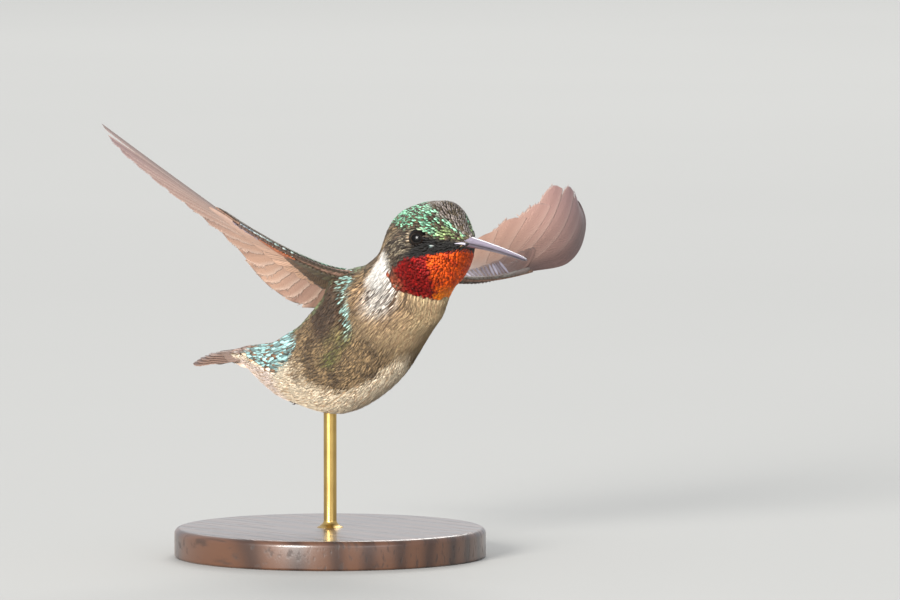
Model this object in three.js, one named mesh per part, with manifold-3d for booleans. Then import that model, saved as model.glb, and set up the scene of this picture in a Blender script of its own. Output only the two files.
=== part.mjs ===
// A male ruby-throated hummingbird at life size, hovering on a plain display stand.
// Millimetres. +X is the way the bird flies, +Y its left, +Z up. The origin is the centre of the
// underside of the stand, which rests on the floor.

import * as THREE from "three";
import { LoftGeometry } from "three/addons/geometries/LoftGeometry.js";
import { ParametricGeometry } from "three/addons/geometries/ParametricGeometry.js";
import { mergeGeometries, mergeVertices } from "three/addons/utils/BufferGeometryUtils.js";
import Module from "manifold-3d";

const wasm = await Module();
wasm.setup();

// ---------------------------------------------------------------- driving dimensions

const GAP = 0.3; // clear width between nodes that touch
const DEG = Math.PI / 180;

// Stations along the spine from the root of the bill to the root of the tail:
// x, z of the spine, backward pitch in degrees, half width, rise above and drop below the spine.
const BODY = [
  [32.6, 50.1, 6, 1.0, 0.95, 0.95],
  [31.2, 50.0, 7, 2.6, 3.0, 2.4],
  [29.2, 49.8, 8, 4.5, 5.4, 4.6],
  [26.4, 49.5, 10, 5.8, 6.5, 6.7],
  [23.2, 49.0, 15, 6.1, 6.6, 8.4],
  [20.3, 47.3, 26, 6.2, 6.1, 9.8],
  [17.6, 44.8, 38, 6.2, 5.1, 10.3],
  [15.2, 42.0, 45, 6.6, 5.9, 9.4],
  [12.0, 38.8, 45, 7.2, 6.9, 8.8],
  [8.4, 35.4, 42, 7.4, 8.2, 9.3],
  [4.2, 32.2, 36, 7.5, 8.2, 9.0],
  [-0.6, 29.8, 24, 7.2, 7.2, 8.2],
  [-5.6, 29.0, 12, 6.3, 5.8, 6.2],
  [-10.4, 28.9, 8, 4.9, 3.8, 4.7],
  [-14.8, 29.3, 8, 3.4, 2.6, 3.1],
  [-18.6, 29.8, 9, 2.2, 1.6, 1.5],
  [-21.8, 29.6, 10, 1.4, 1.0, 0.9],
];
const BODY_STEPS = 46;
const BODY_SIDES = 30;
const HEAD_YAW = -5; // degrees, toward the bird's right
const HEAD_YAW_FROM = 16; // x at which the neck starts to turn

const HEAD_CUT = 18.2; // x of the spine where the head ends
const NECK_CUT = 14.4;
const TAIL_CUT = -14.2;

const EYE_RADIUS = 1.65;
const EYE_FORWARD = 2.0; // from the middle of the head
const EYE_OUT = 4.3;
const EYE_UP = 1.4;
const HEAD_MIDDLE = new THREE.Vector3(23.6, -0.5, 49.3);
const LID_RADIUS = 1.72;
const LID_WIRE = 0.32;
const LID_OUT = 0.85;
const LID_TURN = 0.42; // how far the eyes look ahead
const LID_TILT = 0.08;

const BILL_LENGTH = 14.4;
const BILL_WIDTH = 1.9;
const BILL_DEPTH = 1.75;
const BILL_PITCH = 4.5; // degrees below level at its root
const BILL_DROOP = 3.5; // degrees more at its tip
const MOUTH_LINE = 0.16;

// Leading edge of each wing from the shoulder to the tip, and the way its chord runs back.
const WING_RIGHT = {
  edge: [
    [10.6, -2.4, 42.0],
    [8.2, -6.4, 44.6],
    [5.9, -11.5, 47.0],
    [3.2, -17.8, 50.5],
    [0.0, -27.4, 56.3],
    [-1.7, -32.6, 60.4],
    [-5.2, -41.9, 67.3],
  ],
  rootChord: [-0.78, 0.2, -0.59],
  tipChord: [-0.78, 0.58, -0.22],
  twistTo: 24,
  up: -1,
};
const WING_LEFT = {
  edge: [
    [10.4, 2.6, 42.6],
    [11.2, 6.6, 43.4],
    [12.5, 12.7, 42.9],
    [14.1, 19.2, 42.4],
    [15.3, 27.8, 43.3],
    [14.9, 35.8, 45.0],
    [12.1, 41.9, 47.6],
    [8.0, 46.0, 51.5],
    [3.9, 47.8, 54.8],
  ],
  rootChord: [-0.97, 0.1, -0.2],
  tipChord: [-0.42, -0.02, 1.0],
  twistTo: 44,
  up: 1,
};
const WING_ROOT = 2.5; // length of the arm that lies inside the body
const TIP_CROWDING = 0.86; // below 1, the tips of the outer feathers stand closer
const CAMBER = 0.6;
// Distance along a wing, and its chord there.
const CHORDS = [
  [-2, 9],
  [6, 11.4],
  [13, 12.8],
  [22, 12.3],
  [30, 11.5],
  [37, 10.6],
  [42, 8.3],
  [45, 5.2],
  [46.4, 1.2],
];
const ARM_LENGTH = 24;
const ARM_STEPS = 8;
const ARM_WIDE = 2.5;
const HAND_WIDE = 0.7;
const ARM_THICK = 2.2;
const HAND_THICK = 0.5;
const WING_SIDES = 10;

const VANE_THICK = 0.5;
const VANE_ROUND = 0.7; // share of a vane where its tip starts to round
const VANE_QUILL = 0.42; // share of its width that a vane has at its root
const SEED = 11;

// Flight feathers: number, and for the first and last the place of root and tip on the wing, as
// distance along it and share of its chord, with half the width and the bow of the vane.
const PRIMARIES = {
  count: 10,
  root: [[11.6, 0.17], [21.5, 0.085]],
  tip: [[16.2, 1.0], [47.2, 0.85]],
  halfWidth: [2.05, 1.45],
  bow: [0.3, -0.4],
  lift: 0,
  roll: -0.2,
  steps: 6,
};
const SECONDARIES = {
  count: 6,
  root: [[1.9, 0.2], [10.6, 0.18]],
  tip: [[1.2, 1.0], [13.5, 1.0]],
  halfWidth: [1.75, 1.85],
  bow: [0.2, 0.3],
  lift: 0,
  roll: -0.18,
  steps: 4,
};
const GREATER_COVERTS = {
  count: 12,
  root: [[1.8, 0.13], [20.5, 0.07]],
  tip: [[1.6, 0.52], [26.5, 0.42]],
  halfWidth: [1.45, 1.1],
  bow: [0.1, -0.2],
  lift: 0.4,
  roll: -0.14,
  steps: 3,
};
const LESSER_COVERTS = {
  count: 8,
  root: [[2.4, 0.08], [17.0, 0.06]],
  tip: [[2.6, 0.31], [20.5, 0.24]],
  halfWidth: [1.5, 1.2],
  bow: [0, 0],
  lift: 0.72,
  roll: -0.12,
  steps: 2,
};
const UNDER_COVERTS = {
  count: 10,
  root: [[1.8, 0.13], [18.5, 0.08]],
  tip: [[2.2, 0.5], [23.0, 0.4]],
  halfWidth: [1.55, 1.2],
  bow: [0.1, 0],
  lift: -0.4,
  roll: -0.14,
  steps: 3,
};
const ALULA = {
  count: 1,
  root: [[11.4, 0.05], [11.4, 0.05]],
  tip: [[17.6, 0.1], [17.6, 0.1]],
  halfWidth: [0.7, 0.7],
  bow: [0.2, 0.2],
  lift: 0.85,
  roll: -0.08,
  steps: 2,
};

const TAIL_ROOT = -18.2;
const TAIL_LENGTH = 12.0;
const TAIL_FORK = 2.4;
const TAIL_DOME = 0.07;
const TAIL_LIFT = 0.07; // how much flatter than the back the tail lies
const RECTRICES = 5; // on each side
const RECTRIX_HALF = 0.95;
const RECTRIX_STEP = 0.18; // how much lower each outer one lies
const TAIL_ROOT_STEP = 0.16;
const TAIL_TIP_STEP = 0.42;
const TAIL_COVERTS = 3; // on each side, above and below

const LEG_X = -8.2;
const LEG_Y = 2.2;
const LEG_Z = 24.3;
const LEG_RADIUS = 0.45;
const TOE_RADIUS = 0.34;

const STAND_RADIUS = 24;
const STAND_THICK = 4.5;
const STAND_EDGE = 0.8;
const ROD_RADIUS = 1.0;
const ROD_SUNK = 3.0; // how far the rod enters the base
const ROD_TOP = 26.0;

// ---------------------------------------------------------------- solids and booleans

// The closed surface of a geometry as a solid.
function solidOf(geometry) {
  const bare = new THREE.BufferGeometry();
  bare.setAttribute("position", geometry.getAttribute("position"));
  bare.setIndex(geometry.getIndex());
  const merged = mergeVertices(bare, 1e-4);
  const source = merged.index.array;
  const kept = [];
  for (let i = 0; i < source.length; i += 3) {
    const [a, b, c] = source.slice(i, i + 3);
    if (a !== b && b !== c && c !== a) kept.push(a, b, c);
  }
  const surface = new wasm.Mesh({
    numProp: 3,
    vertProperties: new Float32Array(merged.attributes.position.array),
    triVerts: new Uint32Array(kept),
  });
  const solid = new wasm.Manifold(surface);
  if (solid.volume() > 0) return solid;
  surface.triVerts = surface.triVerts.toReversed();
  return new wasm.Manifold(surface);
}

// The largest closed surface of a solid, as a geometry.
function geometryOf(solid) {
  const bodies = solid.decompose();
  bodies.sort((a, b) => b.volume() - a.volume());
  const surface = bodies[0].getMesh();
  const geometry = new THREE.BufferGeometry();
  geometry.setAttribute("position", new THREE.BufferAttribute(surface.vertProperties, 3));
  geometry.setIndex(new THREE.BufferAttribute(surface.triVerts, 1));
  geometry.computeVertexNormals();
  return geometry;
}

function fuse(solids) {
  return solids.reduce((whole, next) => whole.add(next));
}

// A closed solid through rings of points, whichever way round they run.
function loftSolid(rings) {
  const [first, second] = rings;
  const normal = new THREE.Vector3();
  for (let i = 0; i < first.length; i += 1) {
    const next = first[(i + 1) % first.length];
    normal.add(new THREE.Vector3().crossVectors(first[i], next));
  }
  const onward = new THREE.Vector3();
  first.forEach((point, i) => onward.add(second[i]).sub(point));
  const wound = normal.dot(onward) > 0 ? rings : rings.map((ring) => [...ring].reverse());
  return solidOf(new LoftGeometry(wound, { capStart: true, capEnd: true }));
}

// ---------------------------------------------------------------- the body

const spine = new THREE.CatmullRomCurve3(BODY.map(([x, z, pitch]) => new THREE.Vector3(x, pitch, z)));
const sizes = new THREE.CatmullRomCurve3(BODY.map((row) => new THREE.Vector3(...row.slice(3))));

// How far the neck has turned at x, in radians.
function yawAt(x) {
  return THREE.MathUtils.smoothstep(x, HEAD_YAW_FROM, HEAD_YAW_FROM + 6) * HEAD_YAW * DEG;
}

// Spine frame at t: its point, and unit vectors back along it, to the left and up.
function frameAt(t) {
  const row = spine.getPoint(t);
  const yaw = yawAt(row.x);
  const reach = Math.max(0, row.x - HEAD_YAW_FROM - 2);
  const point = new THREE.Vector3(row.x, reach * Math.tan(HEAD_YAW * DEG), row.z);
  const back = new THREE.Vector3(-1, 0, 0);
  back.applyAxisAngle(new THREE.Vector3(0, 1, 0), -row.y * DEG);
  back.applyAxisAngle(new THREE.Vector3(0, 0, 1), yaw);
  const left = new THREE.Vector3(-Math.sin(yaw), Math.cos(yaw), 0);
  const up = new THREE.Vector3().crossVectors(left, back).normalize();
  return { point, back, left, up };
}

// A ring of points round the spine at t, grown outward by grow.
function bodyRing(t, grow) {
  const { point, left, up } = frameAt(t);
  const size = sizes.getPoint(t);
  const ring = [];
  for (let i = 0; i < BODY_SIDES; i += 1) {
    const angle = (2 * Math.PI * i) / BODY_SIDES;
    const high = Math.sin(angle);
    const rise = (high > 0 ? size.y : size.z) + grow;
    const place = point.clone();
    place.addScaledVector(left, -(size.x + grow) * Math.cos(angle));
    place.addScaledVector(up, rise * high);
    ring.push(place);
  }
  return ring;
}

function bodySolid(grow) {
  const rings = [];
  for (let i = 0; i <= BODY_STEPS; i += 1) {
    rings.push(bodyRing(i / BODY_STEPS, grow));
  }
  return loftSolid(rings);
}

// Parameter t of the spine station at x.
function spineAt(x) {
  let near = 0;
  let far = 1;
  for (let i = 0; i < 40; i += 1) {
    const middle = (near + far) / 2;
    if (spine.getPoint(middle).x > x) near = middle;
    else far = middle;
  }
  return near;
}

// All that lies behind the section of the spine at x, moved back by shift.
function behind(x, shift) {
  const { point, back, left, up } = frameAt(spineAt(x));
  const size = 200;
  const box = new THREE.BoxGeometry(size, size, size);
  box.translate(size / 2 + shift, 0, 0);
  const place = new THREE.Matrix4().makeBasis(back, left, up).setPosition(point);
  return solidOf(box.applyMatrix4(place));
}

// ---------------------------------------------------------------- plates and vanes

// The same geometry with its faces turned over.
function turned(geometry) {
  const index = geometry.getIndex();
  for (let i = 0; i < index.count; i += 3) {
    const first = index.getX(i);
    index.setX(i, index.getX(i + 1));
    index.setX(i + 1, first);
  }
  return geometry;
}

// A closed plate from place(u, v, side, target), where side is 1 on its upper and -1 on its lower
// face. Both faces are split alike.
function plate(place, across, along) {
  const face = (side) => (u, v, target) => place(u, v, side, target);
  const edge = (u) => (p, v, target) => place(u, v, 1 - 2 * p, target);
  const end = (v) => (p, u, target) => place(u, v, 1 - 2 * p, target);
  return solidOf(
    mergeGeometries([
      new ParametricGeometry(face(1), across, along),
      turned(new ParametricGeometry(face(-1), across, along)),
      new ParametricGeometry(edge(1), 1, along),
      turned(new ParametricGeometry(edge(0), 1, along)),
      new ParametricGeometry(end(0), 1, across),
      turned(new ParametricGeometry(end(1), 1, across)),
    ]),
  );
}

// Share of the full width of a vane at v of its length: narrow quill, broad middle, rounded tip.
function vaneOutline(v) {
  const quill = VANE_QUILL + (1 - VANE_QUILL) * THREE.MathUtils.smoothstep(v, 0, 0.4);
  const rounded = Math.max(0, (v - VANE_ROUND) / (1 - VANE_ROUND));
  return quill * Math.sqrt(1 - 0.9 * rounded * rounded);
}

// A vane in a flat sheet (s, c) bent by bend(s, c, height, target). It runs from one point to
// another with a bow sideways, and is rolled so that one edge stands higher than the other.
function vaneSolid({ from, to, bow, halfWidth, lift, roll, steps }, bend) {
  const run = new THREE.Vector2().subVectors(to, from);
  const side = new THREE.Vector2(-run.y, run.x).normalize();
  const middle = from.clone().add(to).multiplyScalar(0.5).addScaledVector(side, bow);
  const path = new THREE.QuadraticBezierCurve(from, middle, to);
  const place = (u, v, face, target) => {
    const point = path.getPoint(v);
    const along = path.getTangent(v);
    const y = (2 * u - 1) * halfWidth * vaneOutline(v);
    const s = point.x - along.y * y;
    const c = point.y + along.x * y;
    const half = (VANE_THICK / 2) * (1 - 0.3 * v * v);
    return bend(s, c, lift + roll * (y / halfWidth) + face * half, target);
  };
  return plate(place, 1, steps);
}

// A factor near 1, at most amount away from it.
function vary(amount) {
  return 1 + amount * (2 * THREE.MathUtils.seededRandom() - 1);
}

// ---------------------------------------------------------------- wings

// Distance from the leading to the trailing edge of a wing at s along it.
const chordCurve = new THREE.SplineCurve(CHORDS.map(([s, c]) => new THREE.Vector2(s, c)));

function chordAt(s) {
  let near = 0;
  let far = 1;
  for (let i = 0; i < 24; i += 1) {
    const middle = (near + far) / 2;
    if (chordCurve.getPoint(middle).x < s) near = middle;
    else far = middle;
  }
  return chordCurve.getPoint(near).y;
}

// The surface of a wing: s along its leading edge, c behind that edge, height above it.
function wingSurface({ edge, rootChord, tipChord, twistTo, up }) {
  const lead = new THREE.CatmullRomCurve3(edge.map((row) => new THREE.Vector3(...row)));
  const length = lead.getLength();
  const span = new THREE.Vector3().subVectors(lead.getPoint(1), lead.getPoint(0)).normalize();
  const first = new THREE.Vector3(...rootChord);
  const last = new THREE.Vector3(...tipChord);
  return (out, c, height, target) => {
    const s = out + WING_ROOT;
    const share = THREE.MathUtils.clamp(s / length, 0, 1);
    const beyond = s - share * length;
    const turn = THREE.MathUtils.smoothstep(out, 0, twistTo);
    const chord = first.clone().lerp(last, turn).normalize();
    const normal = new THREE.Vector3().crossVectors(span, chord).normalize().multiplyScalar(up);
    const camber = CAMBER * 4 * (c / 14) * (1 - c / 14);
    lead.getPointAt(share, target);
    target.addScaledVector(span, beyond).addScaledVector(chord, c);
    return target.addScaledVector(normal, height + camber);
  };
}

// The arm and hand along the leading edge, thick at the shoulder and thin at the wrist and beyond.
function armSolid(surface) {
  const rings = [];
  for (let i = 0; i <= ARM_STEPS; i += 1) {
    const share = i / ARM_STEPS;
    const wide = THREE.MathUtils.lerp(ARM_WIDE, HAND_WIDE, Math.sqrt(share));
    const thick = THREE.MathUtils.lerp(ARM_THICK, HAND_THICK, Math.sqrt(share));
    const ring = [];
    for (let j = 0; j < WING_SIDES; j += 1) {
      const angle = (2 * Math.PI * j) / WING_SIDES;
      const c = wide * (0.75 - Math.cos(angle));
      const out = share * (ARM_LENGTH + WING_ROOT) - WING_ROOT;
      ring.push(surface(out, c, thick * Math.sin(angle), new THREE.Vector3()));
    }
    rings.push(ring);
  }
  return loftSolid(rings);
}

// One tier of vanes, from the first to the last of its row.
function tierSolids(tier, surface) {
  const between = ([first, last], share) => THREE.MathUtils.lerp(first, last, share);
  const placed = ([first, last], share, slip) => {
    const s = between([first[0], last[0]], share) * slip;
    return new THREE.Vector2(s, between([first[1], last[1]], share) * chordAt(s));
  };
  const vanes = [];
  for (let i = 0; i < tier.count; i += 1) {
    const share = tier.count > 1 ? i / (tier.count - 1) : 0;
    const shape = {
      from: placed(tier.root, share, 1),
      to: placed(tier.tip, share ** TIP_CROWDING, vary(0.008)),
      bow: between(tier.bow, share),
      halfWidth: between(tier.halfWidth, share) * vary(0.04),
      lift: tier.lift,
      roll: tier.roll,
      steps: tier.steps,
    };
    vanes.push(vaneSolid(shape, surface));
  }
  return vanes;
}

function wingSolid(wing) {
  THREE.MathUtils.seededRandom(SEED);
  const surface = wingSurface(wing);
  const tiers = [PRIMARIES, SECONDARIES, GREATER_COVERTS, LESSER_COVERTS, UNDER_COVERTS, ALULA];
  return fuse([armSolid(surface), ...tiers.flatMap((tier) => tierSolids(tier, surface))]);
}

// ---------------------------------------------------------------- tail

// The surface of the tail: s back from its root, c to the right, height above it.
function tailSurface(s, c, height, target) {
  const { point, back, left, up } = frameAt(spineAt(TAIL_ROOT));
  target.copy(point).addScaledVector(back, s).addScaledVector(left, -c);
  return target.addScaledVector(up, height + TAIL_LIFT * s - TAIL_DOME * c * c);
}

// The closed fan of the tail, its middle feathers on top.
function tailFan() {
  const vanes = [];
  for (const side of [-1, 1]) {
    for (let i = 0; i < RECTRICES; i += 1) {
      const share = i / (RECTRICES - 1);
      const length = TAIL_LENGTH - TAIL_FORK * (1 - share);
      const shape = {
        from: new THREE.Vector2(-1.5, side * (i + 0.5) * TAIL_ROOT_STEP),
        to: new THREE.Vector2(length * vary(0.01), side * (i + 0.6) * TAIL_TIP_STEP),
        bow: -side * 0.15 * i,
        halfWidth: RECTRIX_HALF * (1 - 0.18 * share),
        lift: 0.35 - RECTRIX_STEP * i - 0.06 * side,
        roll: 0.05 * side,
        steps: 5,
      };
      vanes.push(vaneSolid(shape, tailSurface));
    }
  }
  return vanes;
}

// Coverts over or under the root of the tail; above is 1 over it and -1 under it.
function tailCoverts(above) {
  const bend = (s, c, height, target) => {
    const rise = THREE.MathUtils.mapLinear(s, -3, 5, 1.75, 0.72);
    return tailSurface(s, c, above * rise - 0.1 * c * c * above + height, target);
  };
  const vanes = [];
  for (const side of [-1, 1]) {
    for (let i = 0; i < TAIL_COVERTS; i += 1) {
      const shape = {
        from: new THREE.Vector2(-2.4 - 0.5 * i, side * (0.35 + 0.5 * i)),
        to: new THREE.Vector2((5.2 - 1.1 * i) * vary(0.04), side * (0.4 + 0.62 * i)),
        bow: 0,
        halfWidth: 0.75,
        lift: -above * (0.14 * i + 0.05 * side),
        roll: 0,
        steps: 4,
      };
      vanes.push(vaneSolid(shape, bend));
    }
  }
  return vanes;
}

// ---------------------------------------------------------------- head

// A frame at the root of the bill: forward, left and up.
const head = frameAt(0);
const forward = head.back.clone().negate();
const headLeft = head.left;
const headUp = new THREE.Vector3().crossVectors(forward, headLeft);

// A point from its measures forward, to the left and up from the middle of the head.
function headPoint(ahead, aside, above) {
  const level = new THREE.Vector3(forward.x, forward.y, 0).normalize();
  const point = HEAD_MIDDLE.clone().addScaledVector(level, ahead);
  return point.addScaledVector(headLeft, aside).add(new THREE.Vector3(0, 0, above));
}

// The middle of the bill at q of its length.
function billPoint(q) {
  const level = new THREE.Vector3(forward.x, forward.y, 0).normalize();
  const drop = BILL_PITCH + BILL_DROOP * q;
  const reach = q * BILL_LENGTH + GAP;
  const point = head.point.clone().addScaledVector(level, reach * Math.cos(drop * DEG));
  point.z -= reach * Math.sin(drop * DEG);
  return point;
}

// Share of the width and depth of the bill left at q of its length.
function billTaper(q) {
  const slim = 1 - 0.62 * Math.max(0, q) ** 0.7;
  return slim * Math.sqrt(1 - 0.8 * Math.max(0, (q - 0.9) / 0.1) ** 2);
}

// A sleeve round the bill between two shares of its length, grown by grow; flat makes it a slab.
function billSleeve(from, to, grow, flat) {
  const rings = [];
  const steps = 10;
  const sides = 12;
  for (let i = 0; i <= steps; i += 1) {
    const q = THREE.MathUtils.lerp(from, to, i / steps);
    const wide = (BILL_WIDTH / 2) * billTaper(q) + grow;
    const deep = flat ? MOUTH_LINE / 2 : (BILL_DEPTH / 2) * billTaper(q) + grow;
    const ring = [];
    for (let j = 0; j < sides; j += 1) {
      const angle = (2 * Math.PI * j) / sides;
      const place = billPoint(q).addScaledVector(headLeft, wide * Math.cos(angle));
      ring.push(place.addScaledVector(headUp, deep * Math.sin(angle)));
    }
    rings.push(ring);
  }
  return loftSolid(rings);
}

function ball(centre, radius, wide, high) {
  return solidOf(new THREE.SphereGeometry(radius, wide, high).translate(...centre.toArray()));
}

// ---------------------------------------------------------------- legs and stand

function rodShape(radius, from, to, sides) {
  const shape = new THREE.CylinderGeometry(radius, radius, to - from, sides);
  return solidOf(shape.rotateX(Math.PI / 2).translate(0, 0, (from + to) / 2));
}

// A tube through points with a radius, closed by balls at its ends.
function limb(points, radius, sides) {
  const path = new THREE.CatmullRomCurve3(points);
  const steps = 2 * points.length;
  const rings = [];
  for (let i = 0; i <= steps; i += 1) {
    const centre = path.getPoint(i / steps);
    const along = path.getTangent(i / steps);
    const across = new THREE.Vector3(0, 1, 0).cross(along).normalize();
    const third = new THREE.Vector3().crossVectors(along, across);
    const slim = radius * (1 - 0.35 * (i / steps));
    const ring = [];
    for (let j = 0; j < sides; j += 1) {
      const angle = (2 * Math.PI * j) / sides;
      const place = centre.clone().addScaledVector(across, slim * Math.cos(angle));
      ring.push(place.addScaledVector(third, slim * Math.sin(angle)));
    }
    rings.push(ring);
  }
  return loftSolid(rings);
}

// A point by a leg, from its measures ahead of the ankle, outward and up; side is 1 on the left.
function legPoint(side, x, y, z) {
  return new THREE.Vector3(LEG_X + x, side * (LEG_Y + y), LEG_Z + z);
}

function shankSolid(side, grow) {
  const points = [legPoint(side, -0.6, 0, 1.7), legPoint(side, 0.4, 0, 0.1), legPoint(side, 2.4, 0, -0.5)];
  return limb(points, LEG_RADIUS + grow, 8);
}

// A small leg drawn up against the belly, with its three front toes and hind toe clenched.
function legSolid(side) {
  const knuckle = legPoint(side, 2.4, 0, -0.5);
  const pieces = [shankSolid(side, 0), ball(knuckle, LEG_RADIUS, 8, 6)];
  for (const spread of [-0.7, 0, 0.7]) {
    const knee = legPoint(side, 3.6, spread, -0.5);
    const tip = legPoint(side, 3.5, spread * 1.1, -1.3);
    pieces.push(limb([knuckle, knee, tip], TOE_RADIUS, 6));
  }
  const heel = legPoint(side, 1.5, 0, -1.1);
  pieces.push(limb([knuckle, heel, legPoint(side, 2.3, 0, -1.45)], TOE_RADIUS, 6));
  return fuse(pieces);
}

// The hollow of the belly that a leg lies in.
function legBed(side) {
  const bed = new THREE.SphereGeometry(1, 16, 12).scale(2.1, 1.6, 1.25);
  const centre = legPoint(side, 2.9, 0, -0.7);
  return fuse([shankSolid(side, GAP), solidOf(bed.translate(...centre.toArray()))]);
}

function baseSolid() {
  const profile = [
    new THREE.Vector2(0, 0),
    new THREE.Vector2(STAND_RADIUS - STAND_EDGE / 2, 0),
    new THREE.Vector2(STAND_RADIUS, STAND_EDGE / 2),
    new THREE.Vector2(STAND_RADIUS, STAND_THICK - STAND_EDGE),
    new THREE.Vector2(STAND_RADIUS - STAND_EDGE, STAND_THICK),
    new THREE.Vector2(0, STAND_THICK),
  ];
  const disc = new THREE.LatheGeometry(profile, 48).rotateX(Math.PI / 2);
  return solidOf(disc).subtract(rodShape(ROD_RADIUS + GAP, STAND_THICK - ROD_SUNK, STAND_THICK + 1, 20));
}

// ---------------------------------------------------------------- putting it together

const root = new THREE.Group();

function add(name, solid, colour, roughness, metalness = 0) {
  const material = new THREE.MeshStandardMaterial({ color: colour, roughness, metalness });
  const mesh = new THREE.Mesh(geometryOf(solid), material);
  mesh.name = name;
  root.add(mesh);
}

const body = bodySolid(0);
const clearOfBody = bodySolid(GAP);
const rodHole = rodShape(ROD_RADIUS + GAP, 0, ROD_TOP + GAP, 20);
const legs = [-1, 1].map(legSolid);
const legBeds = [-1, 1].map(legBed);

let headPiece = body.subtract(behind(HEAD_CUT, -GAP / 2));
const eyes = [-1, 1].map((side) => headPoint(EYE_FORWARD, side * EYE_OUT, EYE_UP));
for (const [i, eye] of eyes.entries()) {
  const side = 2 * i - 1;
  const axis = headPoint(LID_TURN, side, LID_TILT).sub(headPoint(0, 0, 0)).normalize();
  const ring = new THREE.TorusGeometry(LID_RADIUS, LID_WIRE, 8, 20);
  const turn = new THREE.Quaternion().setFromUnitVectors(new THREE.Vector3(0, 0, 1), axis);
  const lids = ring.applyQuaternion(turn).translate(...eye.clone().addScaledVector(axis, LID_OUT));
  headPiece = headPiece.add(solidOf(lids)).subtract(ball(eye, EYE_RADIUS + GAP, 18, 12));
}

const bill = billSleeve(0, 1, 0, false);
const nostrils = [-1, 1].map((side) => {
  const spot = billPoint(0.1).addScaledVector(headLeft, side * 0.72).addScaledVector(headUp, 0.3);
  const slit = new THREE.SphereGeometry(0.22, 8, 6).scale(2.4, 0.8, 0.7);
  return solidOf(slit.translate(...spot.toArray()));
});
const mouth = billSleeve(-0.1, 0.92, 0.6, true).subtract(billSleeve(-0.15, 0.97, -0.14, false));

add("head", headPiece, 0x3d5b45, 0.6);
const neckPiece = body.subtract(behind(NECK_CUT, -GAP / 2)).intersect(behind(HEAD_CUT, GAP / 2));
add("neck", neckPiece, 0xe6ded0, 0.8);
const trunk = body.subtract(behind(TAIL_CUT, -GAP / 2)).intersect(behind(NECK_CUT, GAP / 2));
add("torso", trunk.subtract(rodHole).subtract(fuse(legBeds)), 0x7a6a4a, 0.8);
const tailStump = body.intersect(behind(TAIL_CUT, GAP / 2));
add("tail", fuse([tailStump, ...tailFan(), ...tailCoverts(1), ...tailCoverts(-1)]), 0x8a6a62, 0.7);
add("wing_right", wingSolid(WING_RIGHT).subtract(clearOfBody), 0xc09a80, 0.7);
add("wing_left", wingSolid(WING_LEFT).subtract(clearOfBody), 0xc09a80, 0.7);
add("eye_right", ball(eyes[0], EYE_RADIUS, 16, 10), 0x0a0806, 0.08);
add("eye_left", ball(eyes[1], EYE_RADIUS, 16, 10), 0x0a0806, 0.08);
add("bill", bill.subtract(mouth).subtract(fuse(nostrils)), 0x3a363c, 0.35);
add("leg_right", legs[0], 0x2a2422, 0.7);
add("leg_left", legs[1], 0x2a2422, 0.7);
add("stand_base", baseSolid(), 0x5a3c28, 0.5);
add("stand_rod", rodShape(ROD_RADIUS, STAND_THICK - ROD_SUNK + GAP, ROD_TOP, 20), 0xb08d4a, 0.3, 1);

export default root;
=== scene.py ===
"""A male ruby-throated hummingbird at life size, hovering over a plain display stand.

Millimetres are used for every named size and turned into metres where a mesh is made. +X is the
way the bird flies, +Y its left and +Z up. The body is a tube round a bent spine: a place on it is
its distance x along the bird and its turn round the spine, 0 on the back and 180 degrees on the
belly. The wings and the tail are sheets with coordinates of their own.
"""

import logging
import math
from collections.abc import Callable
from dataclasses import dataclass, field
from enum import Enum

import bpy
import numpy as np
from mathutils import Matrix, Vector


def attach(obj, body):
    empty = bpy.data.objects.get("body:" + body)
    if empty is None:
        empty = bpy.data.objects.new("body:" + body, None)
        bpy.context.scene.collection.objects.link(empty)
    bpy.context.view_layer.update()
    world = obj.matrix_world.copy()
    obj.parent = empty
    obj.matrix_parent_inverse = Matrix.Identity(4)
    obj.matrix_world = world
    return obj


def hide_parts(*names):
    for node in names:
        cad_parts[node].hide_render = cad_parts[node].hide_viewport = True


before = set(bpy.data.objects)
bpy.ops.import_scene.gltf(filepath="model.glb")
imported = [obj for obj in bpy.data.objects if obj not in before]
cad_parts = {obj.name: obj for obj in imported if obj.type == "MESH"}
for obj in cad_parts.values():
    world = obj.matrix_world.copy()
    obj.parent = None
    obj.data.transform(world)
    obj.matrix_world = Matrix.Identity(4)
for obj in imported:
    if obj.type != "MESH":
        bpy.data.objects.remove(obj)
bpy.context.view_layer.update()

Array = np.ndarray
Random = np.random.Generator
Material = bpy.types.Material
Object = bpy.types.Object
Pair = tuple[float, float]
Triple = tuple[float, float, float]
Options = dict[str | int, object] | None
log = logging.getLogger("hummingbird")

MM = 0.001
ROOT = "root"
SEED = 7
UP = np.array([0.0, 0.0, 1.0])

# Share of the baking map that each feather's own patch takes.
BAKE_PATCH = 0.003

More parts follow.
